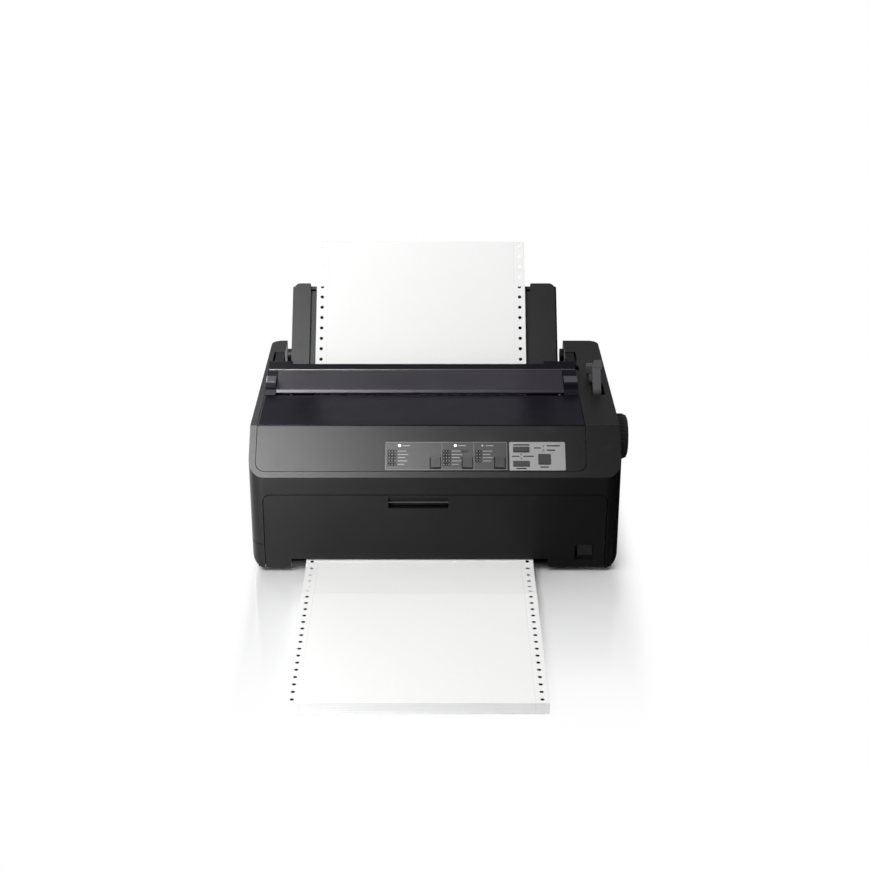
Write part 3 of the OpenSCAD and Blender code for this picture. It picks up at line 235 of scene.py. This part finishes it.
def steel():
    """Plain steel, brushed along x."""
    p = Paint("brushed_steel", (0.52, 0.52, 0.53), 0.3, Metallic=1.0)
    lines = p.noise(60, 6, (4, 40, 40))
    p.color(p.blend(lines, (0.42, 0.42, 0.43), (0.6, 0.6, 0.61)))
    p.rough(lines * 0.2 + 0.22)
    p.bump(lines, 0.00001, 0.5)
    return p.mat


def rubber():
    """Dull black rubber of the feet, the platen and the belt."""
    p = Paint("black_rubber", (0.014, 0.014, 0.015), 0.75, Specular_IOR_Level=0.3)
    fine = p.noise(900, 4)
    p.color(p.blend(fine, (0.011, 0.011, 0.012), (0.02, 0.02, 0.021)))
    p.rough(p.noise(30, 3) * 0.15 + 0.65)
    p.bump(fine, 0.00004, 0.5)
    return p.mat


def circuit_board():
    """Green lacquered board with paler tracks."""
    p = Paint("circuit_board", (0.02, 0.11, 0.05), 0.35)
    tracks = p.noise(180, 0, (1, 6, 1)).ramp(0.49, 0.51)
    p.color(p.blend(tracks * 0.6 + p.noise(500, 3) * 0.2,
                    (0.012, 0.07, 0.03), (0.04, 0.19, 0.09)))
    p.rough(tracks * 0.1 + 0.3)
    p.bump(tracks, 0.00003, 0.5)
    return p.mat


def paper(name, leaves):
    """White form paper: faint fibre, a tear line inside each row of holes, leaves on a stack."""
    p = Paint(name, (0.84, 0.84, 0.83), 0.62, Specular_IOR_Level=0.3)
    x, _, z = p.axes()
    across = (x - at(PAPER_MID, 0, 0).x).size()
    tear = (across - (PAPER_WIDTH / 2 - PAPER_STRIP) * MM).size().ramp(0.00012, 0.0004, 1, 0)
    fibre = p.noise(1200, 5)
    cloth = p.blend(fibre, (0.80, 0.80, 0.795), (0.86, 0.86, 0.855))
    tone = p.blend(tear * 0.35, cloth, (0.55, 0.55, 0.56))
    if leaves:
        stripes = p.noise(1, 2, (8, 8, 9000)).ramp(0.35, 0.65)
        side = (z - 0.0116).ramp(0, 0.0003, 1, 0)  # 1 below the top leaf, 0 on it
        tone = p.blend(side * stripes * 0.45 + side * 0.08, tone, (0.45, 0.45, 0.46))
    p.color(tone)
    p.rough(fibre * 0.1 + 0.58)
    p.bump(fibre, 0.00002, 0.4)
    return p.mat


def label_film():
    """Satin grey film."""
    p = Paint("label_film", (0.2, 0.2, 0.205), 0.5)
    fine = p.noise(2500, 3)
    p.color(p.blend(fine, (0.188, 0.188, 0.193), (0.214, 0.214, 0.219)))
    p.rough(p.noise(50, 2) * 0.08 + 0.46)
    p.bump(fine, 0.00001, 0.5)
    return p.mat


def ink(name, tone, spec=0.5):
    """Printed grey of one tone."""
    p = Paint(name, (tone,) * 3, 0.5, Specular_IOR_Level=spec)
    p.color(p.blend(p.noise(1800, 3), (tone * 0.8,) * 3, (tone * 1.2,) * 3))
    return p.mat


def glow(name, tint, strength, base):
    """A lamp's lens that shines in a tint of its own."""
    p = Paint(name, base, 0.25, Emission_Strength=strength)
    fine = p.noise(600, 2)
    p.color(p.blend(fine, shade(base, 0.9), shade(base, 1.1)))
    p.feed(p.shader.inputs["Emission Color"], p.blend(fine, shade(tint, 0.92), tint))
    return p.mat


FINISH = {}


def make_finishes(o):
    """Makes every finish from the sizes and colours in o."""
    case = tuple(o.case_color)
    FINISH.update(
        case=moulded("case_plastic", case, o.case_rough),
        guide=moulded("guide_plastic", shade(case, 1.6), 0.5, grain_scale=1200, spec=0.12),
        frame=moulded("cover_frame_plastic", (0.006, 0.0055, 0.009), 0.45, spec=0.05),
        inner=moulded("inner_plastic", (0.02, 0.02, 0.021), 0.5),
        chassis=moulded("dark_chassis", (0.035, 0.035, 0.036), 0.5),
        button=moulded("button_plastic", (0.018, 0.018, 0.0185), 0.42, grain_scale=2500,
                       spec=0.22),
        knob=moulded("knob_plastic", shade(tuple(o.knob_color), 0.35), 0.5, spec=0.2, change=0.1),
        lever=moulded("lever_plastic", (0.065, 0.065, 0.068), 0.5, change=0.1),
        white=moulded("white_plastic", (0.6, 0.59, 0.54), 0.4, grain=0.00001, spec=0.5,
                      change=0.06),
        field=moulded("field_film", (0.006, 0.006, 0.0063), 0.45, grain=0.00001,
                      grain_scale=3000, spec=0.3),
        motor=moulded("motor_paint", (0.04, 0.04, 0.042), 0.4),
        smoked=smoked(), flap=smoked_flap(), steel=steel(), rubber=rubber(),
        board=circuit_board(), label=label_film(),
        paper=paper("form_paper", False), stack=paper("stacked_paper", True),
        # the dark ink prints the label's words and the blocks behind the pips, and also lays painted
        # shade round the square buttons and in the stack's feed holes
        ink=ink("pale_ink", 0.15), dark_ink=ink("dark_ink", 0.004, 0.04),
        # pale plastic of the clip caps; on the ridge bead the same paler colour is a painted
        # highlight
        trim=moulded("trim_plastic", (0.04, 0.039, 0.05), 0.35, grain=0.00001, spec=0.45),
        lit=glow("lit_lamp", (0.75, 1.0, 0.62), o.lamp_glow, (0.6, 0.75, 0.55)),
        unlit=glow("unlit_lamp", (0.3, 0.4, 0.3), 0.03, (0.10, 0.12, 0.10)),
    )


# ---------------------------------------------------------------- modelling helpers
def alone(o=None):
    """Deselects everything, then selects o only."""
    if bpy.context.object and bpy.context.object.mode != "OBJECT":
        bpy.ops.object.mode_set(mode="OBJECT")
    bpy.ops.object.select_all(action="DESELECT")
    if o is not None:
        o.select_set(True)
        bpy.context.view_layer.objects.active = o
    return o


def settle(o, name):
    """Leaves o at the origin, unturned and unscaled, with its place in its mesh."""
    alone(o)
    bpy.ops.object.transform_apply(location=True, rotation=True, scale=True)
    o.name = o.data.name = name
    return o


def apply_all(o):
    """Applies every modifier of o."""
    alone(o)
    for m in list(o.modifiers):
        bpy.ops.object.modifier_apply(modifier=m.name)
    return o


def bevel(o, width, segments=2, angle=32):
    """Adds a rounding of every edge sharper than the angle, in degrees."""
    m = o.modifiers.new("edge", "BEVEL")
    m.width, m.segments, m.loop_slide = width, segments, False
    m.limit_method, m.angle_limit = "ANGLE", math.radians(angle)
    return o


def smooth(o, angle):
    """Shades o smooth but for edges sharper than the angle, in degrees."""
    alone(o)
    bpy.ops.object.shade_smooth_by_angle(angle=math.radians(angle))
    return o


def even(o):
    """Keeps broad faces flat in the shading, with only the rounded edges turning the light."""
    m = o.modifiers.new("even", "WEIGHTED_NORMAL")
    m.weight, m.keep_sharp = 100, True
    return apply_all(o)


def wear(o, body, finish):
    """Gives o its finish and the body that it rides on."""
    o.data.materials.clear()
    o.data.materials.append(FINISH[finish])
    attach(o, body)
    return o


# the body of each CAD node
BODY = {n: b for b, ns in frame["record"]["behaviour"]["bodies"].items() for n in ns}


def softened(node, finish, width, segments=2, angle=32):
    """A copy of a CAD node with its sharp edges rounded, in its place."""
    src = frame["nodes"][node]
    o = bpy.data.objects.new(node + "_finished", src.data.copy())
    bpy.context.scene.collection.objects.link(o)
    alone(o)
    bpy.ops.object.mode_set(mode="EDIT")
    bpy.ops.mesh.select_all(action="SELECT")
    bpy.ops.mesh.remove_doubles(threshold=0.000005)
    bpy.ops.mesh.dissolve_limited(angle_limit=math.radians(0.6))
    bpy.ops.mesh.quads_convert_to_tris(quad_method="BEAUTY", ngon_method="BEAUTY")
    bpy.ops.object.mode_set(mode="OBJECT")
    bevel(o, width, segments, angle)
    apply_all(o)
    even(smooth(o, 50))
    wear(o, BODY[node], finish)
    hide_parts(node)
    return o


def cuboid(a, b, name="block"):
    """A block between two corners, in whatever coordinates its caller uses."""
    a, b = Vector(a), Vector(b)
    alone()
    bpy.ops.mesh.primitive_cube_add(size=1, location=(a + b) / 2)
    o = bpy.context.object
    o.scale = b - a
    return settle(o, name)


def disc(c, r, h, sides=20):
    """An upright disc of radius r and height h round the point c."""
    alone()
    bpy.ops.mesh.primitive_cylinder_add(vertices=sides, radius=r, depth=h, location=c)
    return settle(bpy.context.object, "disc")


def slab(x0, y0, x1, y1, z0, z1, name="slab"):
    """A block on the control panel's plane, in millimetres."""
    return cuboid((x0 * MM, y0 * MM, z0 * MM), (x1 * MM, y1 * MM, z1 * MM), name)


def dot(x, y, z, r, h, sides=10):
    """A disc on the control panel's plane, in millimetres."""
    return disc((x * MM, y * MM, z * MM), r * MM, h * MM, sides)


def join(parts, name):
    """Joins the parts into one piece."""
    alone(parts[0])
    for p in parts:
        p.select_set(True)
    bpy.ops.object.join()
    o = bpy.context.object
    o.name = o.data.name = name
    return o


def laid_on_slope(o):
    """Takes o from the control panel's plane to its place on the printer."""
    o.matrix_world = ON_SLOPE @ o.matrix_world
    return settle(o, o.name)


def printed(parts, name, finish):
    """Joins marks into one film on the sloping panel."""
    marks = apply_all(bevel(join(parts, name), 0.00001, 1))
    wear(laid_on_slope(marks), "case", finish)


def cut(o, tool):
    """Cuts the tool's shape out of o."""
    m = o.modifiers.new("cut", "BOOLEAN")
    m.object, m.operation, m.solver = tool, "DIFFERENCE", "EXACT"
    apply_all(o)
    bpy.data.objects.remove(tool)
    return o


def paint_node(node, finish):
    """Keeps a CAD node and gives its slots a finish."""
    o = frame["nodes"][node]
    if not o.material_slots:
        o.data.materials.append(FINISH[finish])
    for s in o.material_slots:
        s.material = FINISH[finish]


# ---------------------------------------------------------------- sizes a user would change
class PrinterSettings(bpy.types.PropertyGroup):
    case_color: bpy.props.FloatVectorProperty(
        name="Case colour", description="Colour of the charcoal case", subtype="COLOR", size=3,
        min=0, max=1, default=(0.0032, 0.0032, 0.0033))
    case_rough: bpy.props.FloatProperty(
        name="Case roughness", description="Roughness of the case's texture", min=0, max=1,
        default=0.41)
    knob_color: bpy.props.FloatVectorProperty(
        name="Knob colour", description="Colour of the platen knob", subtype="COLOR", size=3,
        min=0, max=1, default=(0.055, 0.055, 0.057))
    edge: bpy.props.FloatProperty(
        name="Edge radius", description="Radius of the case's moulded edges", subtype="DISTANCE",
        unit="LENGTH", min=0.0002, max=0.003, default=0.0012)
    lamp_glow: bpy.props.FloatProperty(
        name="Lamp glow", description="Strength of the lit lamps", min=0, max=20, default=2.2)
    ambient: bpy.props.FloatProperty(
        name="Ambient light", description="Strength of the even light all round", min=0, max=2,
        default=0.3)
    focal: bpy.props.FloatProperty(
        name="Focal length", description="Camera's focal length in millimetres", min=20, max=200,
        default=66.69)


# name, place, aim, size, power, whether it lights matt colour, whether it shows in sheens
STUDIO = (
    ("key", (-0.75, -0.55, 1.7), (0, 0, 0.1), (1.3, 1.0), 20, True, False),
    ("overhead", (0.5, 0.6, 2.2), (0, 0.05, 0.1), (2.2, 1.6), 19, True, False),
    ("side", (-1.9, -0.6, 0.8), (0, 0, 0.1), (0.9, 0.9), 5, True, False),
    ("slope_sheen", (-0.45, -0.34, 0.85), (-0.13, 0, 0.13), (0.5, 0.4), 42, False, True),
    ("deck_sheen", (-0.8, 0.95, 0.62), (-0.15, 0.15, 0.16), (0.6, 0.6), 26, False, True),
    ("front_sheen", (-0.34, -0.5, 0.22), (-0.1, 0, 0.06), (0.3, 0.3), 14, False, True),
)


class PRINTER_OT_stage(bpy.types.Operator):
    """Sets up the floor, the lights, the world and the camera"""
    bl_idname = "printer.stage"
    bl_label = "Stage"

    def execute(self, context):
        o = context.scene.printer
        scene = context.scene
        scene.view_settings.view_transform = "Standard"
        cam = bpy.data.cameras.new("camera")
        cam.lens, cam.sensor_width, cam.clip_end = o.focal, 36, 50
        eye = bpy.data.objects.new("camera", cam)
        scene.collection.objects.link(eye)
        eye.location = at(*CAMERA_PLACE)
        eye.rotation_euler = (math.radians(90 - CAMERA_TILT), 0, 0)
        scene.camera = eye

        alone()
        bpy.ops.mesh.primitive_plane_add(size=14, location=(0, 0, -0.0004))
        floor = settle(bpy.context.object, "floor")
        p = Paint("pale_floor", (0.86, 0.86, 0.87), 0.5, Specular_IOR_Level=0.1)
        x, y, _ = p.axes()
        p.color(p.blend(p.noise(2, 2), (0.85, 0.85, 0.86), (0.87, 0.87, 0.88)))
        # how far a point lies off the case's foot, where the sides count more than the front
        left, right = ((x - FOOT_LEFT) * -20).top(0.0), ((x - FOOT_RIGHT) * 8).top(0.0)
        front = ((y - FOOT_MID).size() - FOOT_HALF).top(0.0)
        away = (left * left + right * right + front * front).root()
        white, strong, weak = (
            p.node("ShaderNodeEmission", {}, {"Color": (1, 1, 1, 1), "Strength": v})
            for v in (1.0, 2.2, 0.02))
        gloss = p.node("ShaderNodeBsdfGlossy", {}, {"Color": (1, 1, 1, 1), "Roughness": 0.12})
        # near the case the floor keeps its shadow and mirrors it a little, farther off it is white
        near = p.mix(y.ramp(-0.45, -0.16) * 0.22, p.shader, gloss)
        seen = p.mix(p.rays("Camera", "Transmission") * away.ramp(0.0, 0.32), near, white)
        # what sheens see of the floor runs from bright at the left to dark at the right
        graded = p.mix(x.ramp(-0.28, 0.14), strong, weak)
        p.feed(p.out.inputs["Surface"], p.mix(p.rays("Glossy"), seen, graded).outputs[0])
        floor.data.materials.append(p.mat)

        world = bpy.data.worlds.new("studio")
        world.use_nodes = True
        t = Nodes(world.node_tree)
        matt_sky, seen_sky, sheen_sky = (
            t.node("ShaderNodeBackground", {}, {"Color": (1, 1, 1, 1), "Strength": v})
            for v in (o.ambient, 1.0, o.ambient * 1.2))
        sky = t.mix(t.rays("Camera", "Transmission"),
                    t.mix(t.rays("Glossy"), matt_sky, sheen_sky), seen_sky)
        t.feed(t.node("ShaderNodeOutputWorld").inputs["Surface"], sky.outputs[0])
        scene.world = world

        for name, where, look, size, power, matt, sheen in STUDIO:
            lamp = bpy.data.lights.new(name, "AREA")
            lamp.shape, lamp.energy = "RECTANGLE", power
            lamp.size, lamp.size_y = size
            ob = bpy.data.objects.new(name, lamp)
            scene.collection.objects.link(ob)
            ob.location = where
            ob.rotation_euler = (Vector(look) - Vector(where)).to_track_quat("-Z", "Y").to_euler()
            ob.visible_camera, ob.visible_diffuse, ob.visible_glossy = False, matt, sheen
        return {"FINISHED"}


class PRINTER_OT_case(bpy.types.Operator):
    """Rounds and finishes the case halves, the feet and the front cover"""
    bl_idname = "printer.case"
    bl_label = "Case"

    def execute(self, context):
        e = context.scene.printer.edge
        softened("upper_case", "case", e)
        softened("lower_case", "case", e * 0.6)
        softened("front_cover", "case", e * 0.7)
        # thin lip that the fingers hook behind, in the front cover's grip recess; its paler lever
        # plastic is a painted highlight along its edge
        lip = cuboid(at(-48.9, 1, 79.9), at(13.9, 8.9, 80.9), "highlit_grip_lip")
        wear(apply_all(bevel(lip, 0.00025)), "front_cover", "lever")
        softened("power_rocker", "button", 0.0004)
        softened("rubber_feet", "rubber", 0.0005)
        return {"FINISHED"}


class PRINTER_OT_cover(bpy.types.Operator):
    """Finishes the smoked window, the tear-off flap and the cover's frame"""
    bl_idname = "printer.cover"
    bl_label = "Printer cover"

    def execute(self, context):
        softened("cover_window", "smoked", 0.0006)
        softened("tear_off_flap", "flap", 0.0004, 3)
        softened("cover_frame", "frame", 0.0008, 3)
        # pale bead along the ridge's front edge, whose paler colour is a painted highlight, and the
        # caps of the clips beside the flap
        bead = cuboid(at(-186.9, 172, 161), at(157.7, 173.9, 163.3), "ridge_highlight_bead")
        wear(smooth(apply_all(bevel(bead, 0.0006, 3)), 60), "printer_cover", "trim")
        for side, x0, x1 in (("left", -187, -176.2), ("right", 143, 158)):
            cap = alone(cuboid(at(x0, 138.9, 161.6), at(x1, 152.7, 162.3), side + "_clip_cap"))
            bpy.ops.transform.rotate(value=math.radians(-7.8), orient_axis="X",
                                     center_override=at(x0, 145.8, 161.8))
            cap = apply_all(bevel(settle(cap, cap.name), 0.0003))
            wear(cap, "printer_cover", "trim")
        return {"FINISHED"}


# All of the panel's sizes are in millimetres, on its own plane.
# middle and size of the square buttons in the dark field
FIELD_KEYS = {"left_square_button": (0.55, 16.9, 10.3, 11.7),
              "middle_square_button": (33.95, 16.9, 10.3, 11.7),
              "right_square_button": (67.85, 16.9, 10.3, 11.7)}
BUTTONS = (*FIELD_KEYS, "rear_wide_button", "front_wide_button", "end_square_button")
# gap of the field round a button, and the middles of the lamps and of the rows of pips
KEY_GAP = 0.3
LAMPS = ((-37.2, 36.3), (21.3, 36.3), (50.3, 36.3))
PIP_ROWS = (30.1, 26.2, 22.7, 18.9, 15.1)
# dark blocks behind the pips: left and right edge, and how many rows
PIP_BLOCKS = ((-49.5, -40.4, 5), (7.7, 16.3, 5), (42.4, 48.6, 4))
# columns of pips, and how many rows they have
PIP_COLUMNS = (((-47.9, -44.9, -41.9, 9.2, 12, 14.8), 5), ((44, 47), 4))
# plain bars beside the rows, where the panel has words: left edge, and a length for each row
ROW_BARS = ((-39, (9, 11, 8, 10, 7)), (17.5, (9, 11, 8, 10, 7)), (50, (10, 8, 11, 9)))
# plain bars where the label has words: left, lower, right and upper edge
LABEL_BARS = ((82, 36.4, 99, 37.8), (80.5, 23.5, 88.4, 24.7), (92.4, 23.5, 103.4, 24.7),
              (85, 9.6, 95.5, 10.9), (104, 33, 111, 34.2), (117, 35.4, 131, 36.7),
              (117, 30.4, 126, 31.7), (110, 11.2, 118.8, 12.5))
# how far below and above the panel's plane the films lie
FIELD_Z, BLOCK_Z, MARK_Z, LABEL_Z = (-0.4, -0.08), (-0.09, -0.06), (-0.09, -0.045), (0.1, 0.125)


class PRINTER_OT_panel(bpy.types.Operator):
    """Lays the dark field, its printed marks, painted shadow round its buttons, the label and the
    lamps on the sloping panel
    """
    bl_idname = "printer.panel"
    bl_label = "Control panel"

    def lay_field(self):
        """The dark field, open round its buttons and lamps."""
        field = slab(-52.3, 8.5, 76, 40.9, *FIELD_Z, "panel_field")
        for x, y, w, h in FIELD_KEYS.values():
            cut(field, slab(x - w / 2 - KEY_GAP, y - h / 2 - KEY_GAP,
                            x + w / 2 + KEY_GAP, y + h / 2 + KEY_GAP, -1, 1))
        for x, y in LAMPS:
            cut(field, dot(x, y, 0, 1.62, 2, 20))
        apply_all(bevel(field, 0.00005, 1))
        wear(laid_on_slope(field), "case", "field")

    def lay_blocks_and_key_shadows(self):
        """Painted shadow round the square buttons, wider below and to the left, and printed dark
        blocks behind the rows of pips.
        """
        dark = []
        for x, y, w, h in FIELD_KEYS.values():
            x0, x1 = x - w / 2 - KEY_GAP, x + w / 2 + KEY_GAP
            y0, y1 = y - h / 2 - KEY_GAP, y + h / 2 + KEY_GAP
            # painted shadow of the button's well: below, left, right and above the button, wider
            # below and to the left
            for edges in ((x0 - 0.7, y0 - 0.9, x1 + 0.35, y0), (x0 - 0.7, y0, x0, y1),
                          (x1, y0, x1 + 0.35, y1), (x0 - 0.7, y1, x1 + 0.35, y1 + 0.25)):
                dark.append(slab(*edges, *BLOCK_Z))
        for x0, x1, rows in PIP_BLOCKS:
            for y in PIP_ROWS[:rows]:
                dark.append(slab(x0, y - 1.5, x1, y + 1.5, *BLOCK_Z))
        dark.append(slab(27.4, 28.8, 35.6, 31.4, *BLOCK_Z))
        printed(dark, "field_blocks_and_key_shadows", "dark_ink")

    def lay_marks(self):
        """The field's thin outline, its bars in place of words, and its pips."""
        x0, x1, y0, y1, line = -51.6, 75.3, 9.2, 40.2, 0.24
        bars = [(x0, y0, x1, y0 + line), (x0, y1 - line, x1, y1)]
        bars += [(x, y0, x + line, y1) for x in (x0, 7.1, 40.5, x1 - line)]
        bars += [(x + 3, y - 0.5, x + 11, y + 0.5) for x, y in LAMPS]
        bars += [(x, y - 0.45, x + long, y + 0.45)
                 for x, lengths in ROW_BARS for y, long in zip(PIP_ROWS, lengths)]
        marks = [slab(*bar, *MARK_Z) for bar in bars]
        marks += [dot(x, y, -0.055, 0.6, 0.05)
                  for columns, rows in PIP_COLUMNS for x in columns for y in PIP_ROWS[:rows]]
        marks += [dot(x, PIP_ROWS[0], -0.055, 0.5, 0.05) for x in (28.5, 30.5, 32.5, 34.5)]
        printed(marks, "field_marks", "ink")

    def execute(self, context):
        softened("control_panel", "case", context.scene.printer.edge * 0.5)
        softened("grey_label", "label", 0.0001)
        self.lay_field()
        self.lay_blocks_and_key_shadows()
        self.lay_marks()
        printed([slab(*bar, *LABEL_Z) for bar in LABEL_BARS], "label_marks", "dark_ink")
        paint_node("panel_lamps", "unlit")
        for k, (x, y) in enumerate(LAMPS):
            alone()
            bpy.ops.mesh.primitive_uv_sphere_add(segments=24, ring_count=12, radius=1.45 * MM,
                                                 location=(x * MM, y * MM, 0.1 * MM))
            lens = bpy.context.object
            lens.scale = (1, 1, 0.35)
            lens = laid_on_slope(settle(lens, f"lamp_lens_{k + 1}"))
            smooth(lens, 80)
            wear(lens, "case", "lit" if k < 2 else "unlit")
        return {"FINISHED"}


class PRINTER_OT_buttons(bpy.types.Operator):
    """Rounds the six push buttons"""
    bl_idname = "printer.buttons"
    bl_label = "Buttons"

    def execute(self, context):
        for name in BUTTONS:
            softened(name, "button", 0.0005, 3)
        return {"FINISHED"}


class PRINTER_OT_knob(bpy.types.Operator):
    """Finishes the platen knob and the two levers"""
    bl_idname = "printer.knob"
    bl_label = "Knob and levers"

    def execute(self, context):
        softened("platen_knob", "knob", 0.0004, 2, 40)
        softened("release_lever", "lever", 0.0006)
        softened("thickness_lever", "lever", 0.0006)
        softened("ribbon_knob", "lever", 0.0004)
        return {"FINISHED"}


class PRINTER_OT_guides(bpy.types.Operator):
    """Finishes the rear guide and its two edge guides"""
    bl_idname = "printer.guides"
    bl_label = "Paper guides"

    def execute(self, context):
        softened("rear_paper_guide", "guide", 0.0005)
        softened("left_edge_guide", "guide", 0.0008)
        softened("right_edge_guide", "guide", 0.0008)
        return {"FINISHED"}


class PRINTER_OT_paper(bpy.types.Operator):
    """Finishes the folded stack and the web of paper, with painted shade in the stack's feed holes"""
    bl_idname = "printer.paper"
    bl_label = "Paper"

    def execute(self, context):
        softened("paper_stack", "stack", 0.0003, 2, 60)
        # dark discs just under the top leaf, as painted shade inside the stack's feed holes
        hole_shade_discs = [disc((x, HOLE_FIRST + k * HOLE_PITCH, 0.0113), 1.95 * MM, 0.6 * MM)
                  for x in HOLE_COLUMNS for k in range(HOLE_ROWS)]
        wear(apply_all(bevel(join(hole_shade_discs, "stack_hole_shade"), 0.00005, 1)),
             "case", "dark_ink")
        paint_node("paper_web", "paper")
        return {"FINISHED"}


# finishes of the works inside the case, and the nodes that wear them
INSIDE = {
    "steel": ("base_plate", "left_side_frame", "right_side_frame", "carriage_rod",
              "carriage_rail", "tractor_support_rod", "platen_shaft", "tractor_shaft"),
    "chassis": ("paper_path_guide", "carriage", "ribbon_cartridge", "left_tractor",
                "right_tractor", "left_tractor_lid", "right_tractor_lid"),
    "rubber": ("platen", "carriage_belt"),
    "white": ("platen_gear", "idler_gear", "tractor_gear", "motor_pinion", "left_pin_wheel",
              "right_pin_wheel", "left_lock_lever", "right_lock_lever", "drive_pulley",
              "idler_pulley"),
    "board": ("main_board", "power_supply", "button_board"),
    "motor": ("carriage_motor", "paper_motor", "print_head"),
    "inner": ("mains_inlet",),
}


class PRINTER_OT_inside(bpy.types.Operator):
    """Gives the works inside the case their finishes"""
    bl_idname = "printer.inside"
    bl_label = "Inside"

    def execute(self, context):
        for finish, nodes in INSIDE.items():
            for n in nodes:
                paint_node(n, finish)
        return {"FINISHED"}


STEPS = (PRINTER_OT_stage, PRINTER_OT_case, PRINTER_OT_cover, PRINTER_OT_panel,
         PRINTER_OT_buttons, PRINTER_OT_knob, PRINTER_OT_guides, PRINTER_OT_paper,
         PRINTER_OT_inside)


class PRINTER_PT_panel(bpy.types.Panel):
    """Lists the sizes and the steps that dress the printer"""
    bl_idname = "PRINTER_PT_panel"
    bl_label = "Dot matrix printer"
    bl_space_type = "VIEW_3D"
    bl_region_type = "UI"
    bl_category = "Printer"

    def draw(self, context):
        for key in PrinterSettings.__annotations__:
            self.layout.prop(context.scene.printer, key)
        for step in STEPS:
            self.layout.operator(step.bl_idname)


CLASSES = (PrinterSettings, *STEPS, PRINTER_PT_panel)


def register():
    for c in CLASSES:
        bpy.utils.register_class(c)
    bpy.types.Scene.printer = bpy.props.PointerProperty(type=PrinterSettings)


def unregister():
    del bpy.types.Scene.printer
    for c in reversed(CLASSES):
        bpy.utils.unregister_class(c)


def main():
    """Dresses the printer."""
    register()
    make_finishes(bpy.context.scene.printer)
    for step in STEPS:
        group, name = step.bl_idname.split(".")
        getattr(getattr(bpy.ops, group), name)()


if __name__ == "__main__":
    main()
